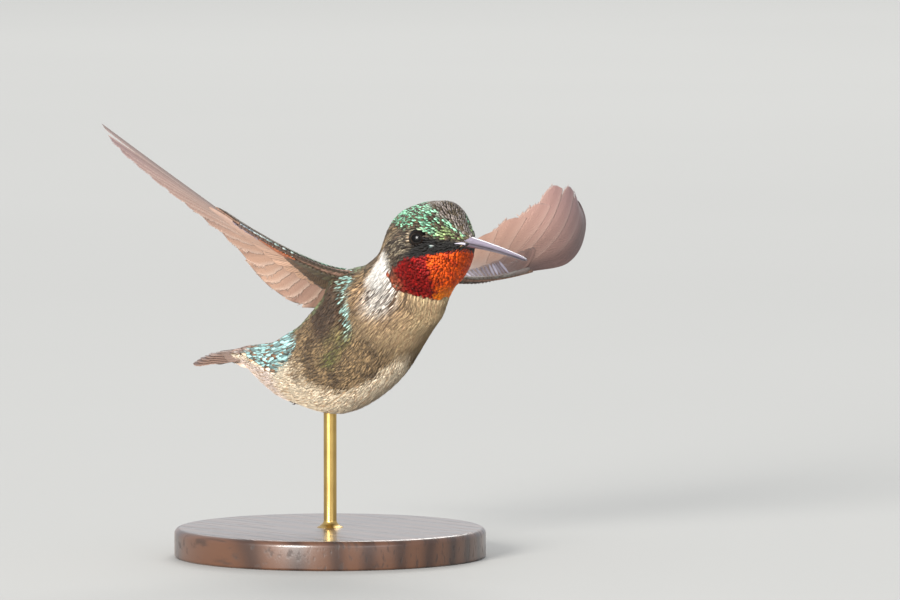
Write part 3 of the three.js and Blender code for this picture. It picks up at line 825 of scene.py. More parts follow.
@dataclass
class Markings:
    """The colours of the body at given places, painted one zone over another.

    Each zone has a method of its name. Borders run in degrees from the back line, which low
    holds, and wave and fine are the patches that make them ragged.
    """

    x: Array
    turn: Array
    points: Array
    low: Array = field(init=False)
    wave: Array = field(init=False)
    fine: Array = field(init=False)
    main: Array = field(init=False)
    edge: Array = field(init=False)
    gloss: Array = field(init=False)
    spread: Array = field(init=False)
    owner: Array = field(init=False)
    current: Zone = field(init=False)

    def __post_init__(self) -> None:
        """Lays the flank's colour over all, and then each zone."""
        shape = self.x.shape
        self.owner = np.zeros(shape, int)
        self.main = np.broadcast_to(Hue.FLANK.linear, shape + (3,)).copy()
        self.edge = np.broadcast_to(Hue.FLANK_DARK.linear, shape + (3,)).copy()
        self.gloss = np.zeros(shape)
        self.spread = np.full(shape, 0.3)
        self.low = np.degrees(np.abs((self.turn + math.pi) % (2 * math.pi) - math.pi))
        self.wave = mottle(self.points, 5.0, 3)
        self.fine = mottle(self.points, 1.7, 4)
        for self.current in Zone:
            getattr(self, self.current.name.lower())()

    def away(self, x: float, low: float, long: float, high: float) -> Array:
        """Distance from a spot at x and low, against its half sizes along and round the bird."""
        return np.hypot((self.x - x) / long, (self.low - low) / high)

    def zone(self, mask: Array, main: Hue, edge: Hue, gloss: float = 0.0, spread: float = 0.3) -> None:
        """Paints one zone.

        Args:
            mask: How fully it covers each place, from 0 to 1.
            main: The colour of the middle of its feathers.
            edge: The colour of their edges.
            gloss: How metallic they shine.
            spread: How much one feather differs from the next.
        """
        self.main = blend(self.main, main.linear, mask)
        self.edge = blend(self.edge, edge.linear, mask)
        self.gloss = self.gloss * (1 - mask) + gloss * mask
        self.spread = self.spread * (1 - mask) + spread * mask
        self.owner = np.where(mask > 0.5, self.current.value, self.owner)

    def flank(self) -> None:
        """Mottled olive brown, greener in patches, with a painted shadow of the wing root under the
        wing.
        """
        dark = smooth(self.wave + self.fine * 0.6, 0, 0.9)
        self.zone(dark * 0.8, Hue.FLANK_DARK, Hue.STREAK_DARK)
        for x, low, share in ((6.4, 108, 0.9), (9.8, 105, 0.75), (8, 92, 0.5)):
            away = self.away(x, low, 2.2, 9) + self.fine * 0.25
            self.zone(fall(away, 0.3, 1.2) * share, Hue.FLANK_GREEN, Hue.FLANK_DARK, 0.2)
        # Painted shadow: dark brown on the side under the wing root.
        wing_shadow = smooth(self.x, 4.5, 7) * fall(self.x, 12, 13.4)
        wing_shadow = wing_shadow * smooth(self.low, 36, 46) * fall(self.low, 80, 100)
        self.zone(wing_shadow * 0.95, Hue.PAINTED_WING_SHADOW, Hue.STREAK_DARK)

    def belly(self) -> None:
        """Cream along the underside, with a ragged border."""
        border = np.interp(self.low, [72, 106, 120, 136, 146, 150, 157, 164, 180],
                           [-0.2, 0, 1.2, 3, 5, 7, 9, 11, 12])
        mask = fall(self.x - border + self.wave * 0.8 + self.fine * 0.7, -1.8, 1.2)
        self.zone(mask * smooth(self.low, 66, 74), Hue.CREAM, Hue.TAN, 0, 0.3)

    def vent(self) -> None:
        """Pinkish white behind the legs and under the tail."""
        mask = fall(self.x + self.fine * 0.5, -8.5, -5) * smooth(self.low, 84, 98)
        self.zone(mask, Hue.VENT, Hue.TAN, 0, 0.25)

    def breast(self) -> None:
        """Olive tan below the gorget."""
        mask = smooth(self.x, 10.5, 14.5) * smooth(self.low, 92, 114)
        self.zone(mask * 0.95, Hue.BREAST, Hue.TAN, 0, 0.15)

    def back(self) -> None:
        """Bronze green scales over the back."""
        border = np.interp(self.x, [-6, 0, 6, 10, 14, 17], [42, 42, 44, 50, 44, 40])
        mask = fall(self.low + self.fine * 5, border - 6, border + 6)
        self.zone(mask, Hue.DEEP_GREEN, Hue.BRONZE, 0.4, 0.6)

    def strip(self) -> None:
        """A line of blue green scales down the side of the breast, behind which the flank begins."""
        middle = np.interp(self.low, [40, 54, 74, 87, 103], [13.3, 13.5, 12.6, 11.8, 10.8])
        mask = fall(np.abs(self.x - middle) + self.fine * 0.2, 0.5, 1.2)
        mask = mask * fall(self.low, 96, 112) * smooth(self.low, 20, 36)
        self.zone(mask * 0.95, Hue.CYAN, Hue.BRONZE, 0.3, 0.55)

    def rump(self) -> None:
        """Pale blue green rump and tail coverts with brown edges."""
        border = np.interp(self.x, [-20, -16.4, -12.6, -8.9, -5.5, -0.7, 1.5, 2.4],
                           [62, 66, 82, 92, 95, 80, 68, 55])
        front = np.interp(self.low, [30, 36, 50, 66], [-2.8, -2.2, 0.3, 2.2])
        mask = fall(self.x - front, -1, 0.8) * fall(self.low + self.fine * 3, border - 4, border + 4)
        self.zone(mask, Hue.RUMP, Hue.RUMP_EDGE, 0.3, 0.8)
        self.zone(mask * fall(self.x, -17, -15.4), Hue.TAIL_COVERT, Hue.RUMP_EDGE, 0.1, 0.5)

    def nape(self) -> None:
        """Greenish olive neck."""
        mask = smooth(self.x, 14, 16.5) * fall(self.low, 50, 70)
        self.zone(mask, Hue.CHEEK_DARK, Hue.BRONZE, 0.2, 0.7)

    def collar(self) -> None:
        """White at the sides of the throat, breaking into tan streaks below."""
        under = smooth(self.x, 11.8, 14.5) * smooth(self.low, 62, 76) * fall(self.low, 128, 156)
        self.zone(under * 0.8, Hue.TAN, Hue.STREAK_DARK, 0, 0.6)
        side = fall(self.away(16.6, 106, 3.2, 22), 0.4, 1.2)
        self.zone(side * 0.75, Hue.WHITE, Hue.STREAK_DARK, 0, 0.7)
        white = fall(self.away(18.2, 84, 2.2, 20) + self.fine * 0.15, 0.55, 1.2)
        self.zone(white, Hue.WHITE, Hue.WHITE, 0, 0.12)

    def cheek(self) -> None:
        """Grey brown ear coverts."""
        mask = smooth(self.x, 18.5, 20.5) * smooth(self.low, 58, 72) * fall(self.low, 112, 124)
        self.zone(mask, Hue.CHEEK, Hue.CHEEK_DARK, 0.05, 0.6)
        dusk = smooth(self.x, 19, 22) * smooth(self.low, 93, 101) * fall(self.low, 112, 122)
        self.zone(dusk * 0.8, Hue.CHEEK_DARK, Hue.MASK, 0, 0.5)
        brow = fall(self.away(23.6, 72, 2.4, 6), 0.5, 1.2)
        self.zone(brow * 0.8, Hue.RUMP_EDGE, Hue.CHEEK_DARK, 0, 0.5)

    def crown(self) -> None:
        """Green crown with painted glints, yellower by the bill and grey over the forehead, where no
        glint is painted.
        """
        border = np.interp(self.x, [17, 20.8, 22.5, 24, 26, 27.6, 29.2, 30.3, 31.1, 32, 33],
                           [26, 42, 57, 66, 67, 72, 82, 85, 83, 78, 70])
        mask = smooth(self.x, 17.5, 20) * fall(self.low + self.fine * 3, border - 5, border + 3)
        # Painted glints: the mint and its chance brightness stand for the green catching the light; the
        # grey over the forehead further on is the same green painted where it shows no glint.
        self.zone(mask, Hue.MINT, Hue.BRONZE, 0.35, 0.85)
        yellow = mask * smooth(self.x, 28.6, 30.2) * smooth(self.low, 50, 62)
        self.zone(yellow * 0.8, Hue.YELLOW_GREEN, Hue.BRONZE, 0.35, 0.7)
        border = np.interp(self.x, [24.2, 25.6, 28.6, 30.3, 31.6, 33], [-8, 14, 38, 47, 50, 44])
        grey = mask * fall(self.low + self.fine * 5, border - 8, border + 8)
        self.zone(grey, Hue.FOREHEAD, Hue.BRONZE, 0.15, 0.5)

    def mask(self) -> None:
        """Black from the bill under the eye to the ear, and over the chin. Three pale spots lie
        in it: behind the eye, ahead of it, where it is a painted glint, and at the corner of the bill."""
        top = np.interp(self.x, [22.5, 25, 26.6, 27.6, 29, 30.3, 31.6, 32.6],
                        [104, 98, 88, 79, 80, 85, 88, 92])
        mask = smooth(self.low, top - 4, top + 4) * smooth(self.x, 23.2, 25.6)
        self.zone(mask, Hue.MASK, Hue.MASK, 0.1, 0.5)
        self.zone(fall(self.away(25.5, 79, 0.35, 7), 0.6, 1.2), Hue.CREAM, Hue.TAN, 0, 0.2)
        # Painted glint: a small blue-white spot ahead of the eye.
        self.zone(fall(self.away(28.7, 95, 0.26, 3), 0.6, 1.2), Hue.WHITE, Hue.RUMP, 0, 0.1)
        self.zone(fall(self.away(32.3, 118, 0.4, 14), 0.5, 1.2), Hue.TAN, Hue.CHEEK_DARK, 0, 0.2)

    def gorget(self) -> None:
        """The throat: red at the sides, orange in front and amber along its lower rim."""
        top = np.interp(self.x, [18.9, 20.8, 23, 26.4, 28.6, 30.3, 31.2, 31.8],
                        [99, 102, 105.5, 108, 111, 124, 155, 181])
        rear = np.interp(self.low, [100, 110, 120, 134, 145, 160, 180],
                         [19.8, 19.7, 20.5, 22.3, 23, 23.9, 24.1])
        inside = smooth(self.low, top - 1.5, top + 1.5) * smooth(self.x, rear - 0.25, rear + 0.25)
        self.zone(inside, Hue.RED, Hue.DEEP_RED, 0.8, 0.45)
        deep = inside * smooth(mottle(self.points, 2.2, 12), 0, 0.8)
        self.zone(deep * 0.6, Hue.DEEP_RED, Hue.MASK, 0.8, 0.5)
        rust = inside * fall(self.x - rear + self.fine * 0.4, 0.9, 2.8) * fall(self.low, 114, 128)
        self.zone(rust * 0.95, Hue.RUST, Hue.STREAK_DARK, 0.2, 0.4)
        swung = np.degrees((self.turn + 2 * math.pi) % (2 * math.pi)) - 180
        front = np.interp(self.x, [22, 24.4, 26.1, 27.2, 27.9, 28.5, 30], [-10, 4, 14, 31, 48, 66, 80])
        orange = inside * smooth(front - swung + self.fine * 6, -9, 9) * fall(-swung, 44, 74)
        self.zone(orange, Hue.ORANGE, Hue.RED, 0.8, 0.35)
        self.zone(orange * deep * 0.55, Hue.RED, Hue.DEEP_RED, 0.8, 0.4)
        rim = orange * fall(self.x - rear, 0.6, 3.4) * fall(np.abs(swung + 10), 14, 34)
        self.zone(rim * 0.85, Hue.AMBER, Hue.ORANGE, 0.7, 0.25)


# ---- skin and coat

EYE_FORWARD = 2.6
EYE_OUT = 4.3
EYE_UP = 1.2
EYE_RADIUS = 1.65
EYE_AHEAD = 0.62
EYE_TILT = 0.08


def head_axes() -> tuple[Array, Array]:
    """Level unit vectors of the head, forward and to the left."""
    along, aside = math.cos(HEAD_YAW), math.sin(HEAD_YAW)
    return np.array([along, aside, 0.0]), np.array([-aside, along, 0.0])


def eye_place(side: Side) -> tuple[Array, Array]:
    """The centre of an eye in millimetres, and the unit vector in which it looks."""
    ahead, left = head_axes()
    centre = HEAD_MIDDLE + EYE_FORWARD * ahead + side.value * EYE_OUT * left + EYE_UP * UP
    return centre, unit(EYE_AHEAD * ahead + side.value * left + EYE_TILT * UP)


@dataclass(frozen=True)
class Skin:
    """Bare skin of the whole bird, inside the solids by the depth of the coat."""

    depth: float = 0.42
    sections: int = 260
    around: int = 160

    def build(self) -> Object:
        """The body's tube, moved inward along its normals and closed at both ends."""
        x = np.linspace(BODY_STATIONS[0, 0], BODY_STATIONS[-1, 0], self.sections)[:, None]
        turn = np.linspace(-math.pi, math.pi, self.around, endpoint=False)[None, :]
        x, turn = np.broadcast_arrays(x, turn)
        points = BODY.point(x, turn)
        normal = BODY.slopes(x, turn)[2]
        marks = Markings(x, turn, points)
        tint = blend(marks.edge, marks.main, smooth(marks.fine, -0.5, 0.8) * 0.5) * 0.6
        faces = tube_quads(self.sections, self.around)[:, ::-1]
        rows, columns = np.divmod(faces, self.around)
        seam = (columns.max(1) - columns.min(1) > self.around // 2)[:, None] & (columns == 0)
        unwrap = beside((columns + seam * self.around) / self.around, rows / (self.sections - 1))
        skin = Piece("skin", points - normal * self.depth, faces, with_gloss(tint, 0.0), bake=unwrap)
        return skin.build(SkinFinish().build(), "body_feathers", ("head", "neck", "torso"))


class Outline(Enum):
    """Half widths of a small feather at shares of its length, against its widest."""

    SCALE = ((0.0, 0.35), (0.3, 0.8), (0.58, 1.0), (0.8, 0.93), (0.94, 0.6), (1.0, 0.2))
    LEAF = ((0.0, 0.4), (0.3, 0.9), (0.6, 1.0), (0.85, 0.6), (1.0, 0.12))
    BARB = ((0.0, 0.6), (0.4, 1.0), (0.75, 0.7), (1.0, 0.08))

    @property
    def arrays(self) -> tuple[Array, Array]:
        """The shares of the length and the widths there."""
        table = np.array(self.value)
        return table[:, 0], table[:, 1]


PLAIN = PlumageFinish("soft_plumage", barbs=5, barb_shade=0.1, shaft_shade=0.08, roughness=0.8,
                      metal=0.3, sheen=0.06, grain=0.1)
SCALED = PlumageFinish("scaled_plumage", barbs=4, slant=1.2, barb_shade=0.16, depth=0.03, metal=0.7,
                       sheen=0.0)
THROAT = PlumageFinish("throat_plumage", barbs=4, slant=1.0, barb_shade=0.2, shaft_shade=0.05,
                       depth=0.02, gloss_roughness=0.52, metal=0.8, sheen=0.0, grain=0.4)


@dataclass(frozen=True)
class Tract:
    """A field of small feathers that cover certain zones of the markings.

    Sizes are in millimetres. Feathers start by sink under the surface and end by about rise over
    it, domed by dome of their half width and swung by up to sway. The share streaks of them have
    the colour of edges. growth is their size on the face and on the neck. rim is how far their
    own edges are coloured, ahead the share of their length at which the colour is taken, and
    shade how light they are at the root.
    """

    name: str
    slot: str
    zones: tuple[Zone, ...]
    spacing: float
    length: float
    half_width: float
    outline: Outline
    sink: float = 0.3
    rise: float = 0.12
    dome: float = 0.3
    sway: float = 0.1
    streaks: float = 0.0
    growth: Pair = (1.0, 1.0)
    rim: float = 1.0
    ahead: float = 0.55
    shade: float = 0.45
    finish: PlumageFinish = PLAIN


GOLDEN = (math.sqrt(5) - 1) / 2


@dataclass(frozen=True)
class RootField:
    """Evenly spread places on the body."""

    rows: int = 420
    columns: int = 361

    def roots(self, spacing: float, rng: Random) -> tuple[Array, Array]:
        """A golden-ratio lattice carried onto the body so that every root has an equal area.

        The area of the surface is summed along the bird and round each section, and the n-th
        root lies where the share of the length's area is n/N and the share of the section's
        area is the fractional part of n times the golden ratio GOLDEN.

        Args:
            spacing: Distance from root to root, in millimetres.
            rng: Random numbers for a small shift.

        Returns:
            x and turn of each root.
        """
        xs = np.linspace(BODY_STATIONS[0, 0] + 0.3, BODY_STATIONS[-1, 0] - 0.1, self.rows)
        turns = np.linspace(-math.pi, math.pi, self.columns)
        x, turn = np.meshgrid(xs, turns, indexing="ij")
        along, round_, _ = BODY.slopes(x, turn)
        area = np.linalg.norm(np.cross(along, round_), axis=-1)
        half = (area[:, 1:] + area[:, :-1]) / 2
        ring = half.sum(1) * (turns[1] - turns[0])
        length = np.concatenate([[0], np.cumsum((ring[1:] + ring[:-1]) / 2 * (xs[1] - xs[0]))])
        count = int(length[-1] / spacing ** 2)
        n = np.arange(count) + 0.5
        at = np.interp(n / count, length / length[-1], np.arange(self.rows))
        share = np.mod(n * GOLDEN, 1)
        row = np.round(at).astype(int)
        table = np.concatenate([np.zeros((self.rows, 1)), np.cumsum(half, 1)], 1)
        table /= table[:, -1:]
        flat = (table + np.arange(self.rows)[:, None]).ravel()
        place = np.interp(row + share * 0.9999, flat, np.arange(flat.size))
        root_turn = np.interp(place - row * self.columns, np.arange(self.columns), turns)
        root_x = np.interp(at, np.arange(self.rows), xs)
        shift = rng.normal(0, 0.16 * spacing, (2, count))
        size = np.maximum(np.interp(root_x, xs, ring) / (2 * math.pi), 0.5)
        return root_x + shift[0] * 0.8, root_turn + shift[1] / size


# Across a ring of four points, and the heights of its ridge and underside.
ACROSS = np.array([-1.0, 0.0, 1.0, 0.0])
DOMED = np.array([0.0, 1.0, 0.0, -0.25])


@dataclass(frozen=True)
class Coat:
    """All the small feathers of the body."""

    tracts: tuple[Tract, ...]
    eye_clear: float = 0.95

    def build(self) -> list[Object]:
        """One piece for each tract."""
        rng = np.random.default_rng(SEED)
        return [self.cover(tract, rng) for tract in self.tracts]

    def clear_of_eyes(self, points: Array) -> Array:
        """Whether feathers, given by points along them, stay off both eyes.

        Distances from a place just inside the eye's front are measured, shortened by 0.4 of what
        lies along the way in which it looks.
        """
        clear = np.ones(len(points), bool)
        for side in Side:
            centre, way = eye_place(side)
            away = points - (centre + way * EYE_RADIUS * 0.85)
            away = away - way * (away @ way)[..., None] * 0.4
            clear &= np.linalg.norm(away, axis=-1).min(1) > self.eye_clear
        return clear

    def cover(self, tract: Tract, rng: Random) -> Object:
        """Lays the feathers of one tract.

        Each is a closed vane of rings of four points: left edge, ridge, right edge and underside.
        It starts in the skin and rises toward its tip, which lies over the roots behind it. Chance
        makes it up to 15 percent longer or shorter, and wider or narrower.

        Args:
            tract: The tract.
            rng: Random numbers.

        Returns:
            The piece.
        """
        x, turn = RootField().roots(tract.spacing, rng)
        marks = Markings(x, turn, BODY.point(x, turn))
        wanted = np.isin(marks.owner, [zone.value for zone in tract.zones])
        luck = rng.random((6, len(x)))
        x, turn, luck = x[wanted], turn[wanted], luck[:, wanted]
        lie = lie_of(x, turn, (luck[0] - 0.5) * 2 * tract.sway)
        face = smooth(x, 20, 29)
        grown = tract.growth[1] * (1 - face) + tract.growth[0] * face
        length = tract.length * grown * (0.85 + 0.3 * luck[1])
        wide = tract.half_width * grown * (0.85 + 0.3 * luck[2])
        level = np.zeros((len(x), 3))
        keep = self.clear_of_eyes(lie.at(length[:, None] * np.array([[0, 0.5, 1]]), level, level))
        x, turn, luck, length, wide = x[keep], turn[keep], luck[:, keep], length[keep], wide[keep]
        lie = lie_of(x, turn, (luck[0] - 0.5) * 2 * tract.sway)

        share, widths = tract.outline.arrays
        shape = (len(x), len(share), 4)
        along = np.broadcast_to(length[:, None, None] * share[:, None], shape)
        half = wide[:, None, None] * widths[:, None]
        top = tract.rise * (0.6 + 0.8 * luck[3])
        climb = -tract.sink + (tract.sink + top)[:, None] * share ** 0.75
        height = climb[..., None] + half * (DOMED * tract.dome)
        points = lie.at(along, half * ACROSS, height)
        return self.piece(tract, x, turn, luck, points).build(tract.finish.build(), tract.slot)

    def piece(self, tract: Tract, x: Array, turn: Array, luck: Array, points: Array) -> Piece:
        """Joins the vanes of a tract and colours them.

        Args:
            tract: The tract.
            x: Distance of each root along the bird.
            turn: Its angle round the spine.
            luck: Six random numbers for each root.
            points: All the points, by feather, section and corner.

        Returns:
            The piece with its tints and maps.
        """
        shape = points.shape[:3]
        share, _ = tract.outline.arrays
        seen = lie_of(x, turn, np.zeros(len(x)))
        seen_x = x + seen.back[:, 0] * tract.length * tract.ahead
        marks = Markings(seen_x, turn, BODY.point(seen_x, turn))
        edge = np.where((luck[4] < tract.streaks)[:, None], marks.edge, marks.main)
        middle = edge * np.exp(marks.spread * (luck[5] - 0.5) * 2.2)[:, None]
        rim = marks.edge * np.exp(marks.spread * (luck[5] - 0.5))[:, None]
        plain = tract.outline is Outline.BARB
        rimmed = np.array([0.25, 0.0, 0.25, 0.6] if plain else [1.0, 0.0, 1.0, 1.0])
        rimmed = rimmed + np.maximum(0, share[:, None] - 0.8) * (0.5 if plain else 2.5)
        amount = np.clip(rimmed, 0, 1) * tract.rim
        tint = blend(middle[:, None, None], rim[:, None, None], amount)
        tint = tint * (tract.shade + (1 - tract.shade) * smooth(share, 0.0, 0.5))[:, None, None]
        vane = beside(np.broadcast_to([0.0, 0.5, 1.0, 0.5], shape),
                      np.broadcast_to(share[:, None], shape))
        length = BODY_STATIONS[-1, 0] - BODY_STATIONS[0, 0]
        home = beside(np.mod(turn / (2 * math.pi) + 0.5, 1), (x - BODY_STATIONS[0, 0]) / length)
        bake = home[:, None, None] * (1 - BAKE_PATCH) + vane * BAKE_PATCH
        colour = with_gloss(tint, marks.gloss[:, None, None] * (1 - 0.5 * amount))
        return Piece(tract.name, points, many_tubes(*shape), colour, vane, bake)


UNDERPARTS = (Zone.FLANK, Zone.BELLY, Zone.VENT)
FRONT = (Zone.BREAST, Zone.COLLAR)
BODY_COAT = Coat((
    Tract("coat_flank", "body_feathers", UNDERPARTS, 0.58, 2.2, 0.4, Outline.LEAF, rise=0.02,
          dome=0.15, rim=0.6),
    Tract("coat_flank_barbs", "body_feathers", (Zone.FLANK,), 0.36, 2.3, 0.085, Outline.BARB,
          rise=0.1, sway=0.3, streaks=0.4),
    Tract("coat_belly_barbs", "body_feathers", (Zone.BELLY, Zone.VENT), 0.36, 2.6, 0.085,
          Outline.BARB, rise=0.14, sway=0.3, streaks=0.16),
    Tract("coat_breast", "collar_feathers", FRONT, 0.52, 2.2, 0.34, Outline.LEAF, rise=0.0,
          dome=0.15, rim=0.6),
    Tract("coat_breast_barbs", "collar_feathers", FRONT, 0.27, 2.8, 0.08, Outline.BARB, rise=0.08,
          streaks=0.34),
    Tract("coat_back", "body_feathers", (Zone.BACK, Zone.NAPE), 0.66, 2.0, 0.5, Outline.SCALE,
          rise=0.02, dome=0.2, streaks=0.25, finish=SCALED),
    Tract("coat_strip", "body_feathers", (Zone.STRIP,), 0.46, 1.5, 0.2, Outline.SCALE,
          streaks=0.55, finish=SCALED),
    Tract("coat_rump", "body_feathers", (Zone.RUMP,), 0.7, 2.8, 0.5, Outline.LEAF, streaks=0.2,
          finish=SCALED),
    Tract("coat_cheek", "crown_feathers", (Zone.CHEEK, Zone.MASK), 0.34, 1.1, 0.15, Outline.LEAF,
          rise=0.04, sway=0.25, streaks=0.4, growth=(0.7, 1.0)),
    Tract("coat_crown", "crown_feathers", (Zone.CROWN,), 0.38, 1.0, 0.25, Outline.SCALE, rise=0.03,
          dome=0.2, streaks=0.36, growth=(0.75, 1.0), finish=SCALED),
    Tract("coat_gorget", "crown_feathers", (Zone.GORGET,), 0.36, 1.3, 0.52, Outline.SCALE,
          rise=0.05, dome=0.03, sway=0.35, growth=(0.6, 1.2), rim=0.3, ahead=0.0, shade=0.8,
          finish=THROAT),
))


# ---- sheets: wings and tail

# Distance along the leading edge, and the length of the chord there.
CHORDS = np.array([
    [-2, 10.4], [6, 11.6], [13, 12.1], [17.5, 11.1], [22, 11.3], [26, 11.1], [30, 10.3], [37, 10.0],
    [42, 8.8], [45, 7.8], [46.6, 6.2],
])
WING_ROOT = 2.5
CAMBER = 0.6
CAMBER_CHORD = 14
WIDTH_TURN = (18, 36)
END_TURN = (40, 52)
TIP_CROWDING = 1.35
# How far chance moves a feather's tip, width and height.
TIP_CHANCE = 0.016
WIDTH_CHANCE = 0.08
LIFT_CHANCE = 0.03
# Painted shade: flight vanes are dimmed by these factors, the upper faces more than the undersides.
DORSAL_PAINTED_SHADE = 0.49
VENTRAL_PAINTED_SHADE = 0.62
TIP_LEAN = 0.55
TONES_AT = (4.0, 11.0, 19.0, 30.0, 45.0)


@dataclass(frozen=True)
class WingSheet:
    """The thin bent sheet that a wing's feathers lie on, and how they are set on it.

    edge is the leading edge from the shoulder out. The chords are the ways back from it: the
    root's turns to the tip's by the distance twist_to, and to the end's over END_TURN. up is 1
    where span x chord is the upper side. width scales the chord near the root and near the tip.
    Of the primaries, last_tip is how far out they reach, outer_short how far the outermost falls
    short of it, and tip_shares the share of the chord at which each ends. The coverts underneath
    lie back by under_back and are dulled by under_dull.
    """

    edge: tuple[Triple, ...]
    root_chord: Triple
    tip_chord: Triple
    end_chord: Triple
    twist_to: float
    up: int
    width: Pair
    last_tip: float
    outer_short: float
    tip_shares: tuple[float, ...]
    under_back: float
    under_dull: float

    def chord(self, s: Array) -> Array:
        """Distance from the leading to the trailing edge at s along the wing."""
        wide = between(self.width, smooth(s, *WIDTH_TURN))
        return curve(s, CHORDS[:, 0], CHORDS[:, 1:])[..., 0] * wide

    def point(self, s: Array, c: Array, height: Array) -> Array:
        """Points of the sheet.

        The leading edge is a smooth curve that is measured by its own length. From there a point
        lies c along the chord, and then height plus the camber, 4q(1 - q) with q the distance c
        over CAMBER_CHORD, along the normal of span and chord.

        Args:
            s: Distance along the leading edge from the shoulder.
            c: Distance behind it.
            height: Height over the sheet, positive on the upper side.

        Returns:
            Points in millimetres.
        """
        s, c, height = np.broadcast_arrays(s, c, height)
        knots = np.array(self.edge)
        rough = run_of(knots)
        fine = np.linspace(0, rough[-1], 400)
        line = curve(fine, rough, knots)
        run = run_of(line)
        out = s + WING_ROOT
        inner = np.clip(out, 0, run[-1])
        lead = curve(np.interp(inner, run, fine), rough, knots)
        span = unit(knots[-1] - knots[0])
        chord = blend(np.array(self.root_chord), np.array(self.tip_chord), smooth(s, 0, self.twist_to))
        chord = unit(blend(chord, np.array(self.end_chord), smooth(s, *END_TURN)))
        normal = unit(np.cross(span, chord)) * self.up
        raised = height + CAMBER * 4 * (c / CAMBER_CHORD) * (1 - c / CAMBER_CHORD)
        lead = lead + span * (out - inner)[..., None]
        return lead + chord * c[..., None] + normal * raised[..., None]


WING_SHEETS = {
    Side.RIGHT: WingSheet(
        edge=((10.6, -2.4, 44.2), (8.2, -6.4, 44.9), (5.9, -11.5, 47), (3.2, -17.8, 50.6),
              (0, -27.4, 57.2), (-1.7, -32.6, 61), (-5.2, -41.9, 68.2)),
        root_chord=(-0.78, 0.2, -0.59), tip_chord=(-0.78, 0.56, -0.32), end_chord=(-0.78, 0.56, -0.32),
        twist_to=24, up=-1, width=(1, 1), last_tip=46.3, outer_short=0,
        tip_shares=(1, 1, 0.99, 0.98, 0.96, 0.93, 0.92, 0.93, 0.82, 0.33),
        under_back=0, under_dull=0),
    Side.LEFT: WingSheet(
        edge=((10.4, 2.6, 42.6), (11.2, 6.6, 43.4), (12.5, 12.7, 42.9), (14.1, 19.2, 42.4),
              (15.3, 27.8, 43.3), (14.9, 35.8, 45), (12.1, 41.8, 47.7), (8.1, 46, 51.4),
              (3.4, 47.3, 54.5), (-0.8, 47.1, 55.6)),
        root_chord=(-0.97, 0.1, -0.2), tip_chord=(-0.42, -0.02, 1), end_chord=(-0.97, 0, 0.05),
        twist_to=44, up=1, width=(0.96, 1.03), last_tip=51.4, outer_short=2.6,
        tip_shares=(1, 1, 0.96, 0.98, 1.03, 0.84, 0.6, 0.45, 0.35, 0.16),
        under_back=1, under_dull=0.8),
}


@dataclass(frozen=True)
class Tier:
    """A row of overlapping vanes.

    Pairs are the values of the first and the last vane: root and tip as distance along the sheet
    and share of its chord, half width, and bow. lift is the height over the sheet, 0 for flight
    feathers, and roll how much higher one edge stands. tones run from the root to the tip of the
    wing. The tip narrows beyond the shares round_front and round_rear on its two sides.
    """

    count: int
    root: tuple[Pair, Pair] = ((0, 0), (0, 0))
    tip: tuple[Pair, Pair] = ((0, 0), (0, 0))
    half_width: Pair = (0, 0)
    lift: float = 0.0
    tones: tuple[int, ...] = ()
    edge: int = 0x785A4E
    # The colour that some vanes take by chance: a painted glint.
    painted_glint: int | None = None
    gloss: float = 0.0
    sections: int = 10
    columns: int = 5
    thick: float = 0.1
    round_front: float = 0.7
    round_rear: float = 0.7
    ragged: float = 0.0
    shaft: float = 0.5
    fringe: int = 0
    bow: Pair = (0, 0)
    roll: float = -0.04


def vane_width(share: Array, rounded: float) -> Array:
    """Half width of a long vane at shares of its length, against its widest.

    It grows from the quill over the first two fifths, and beyond the share rounded it falls as
    the square root of 1 - 0.96 q^2, with q the share gone of what is left.
    """
    q = np.clip((share - rounded) / (1 - rounded), 0, 1)
    return (0.42 + 0.58 * smooth(share, 0, 0.4)) * np.sqrt(1 - 0.96 * q * q)


SECTION_POWER = 0.9


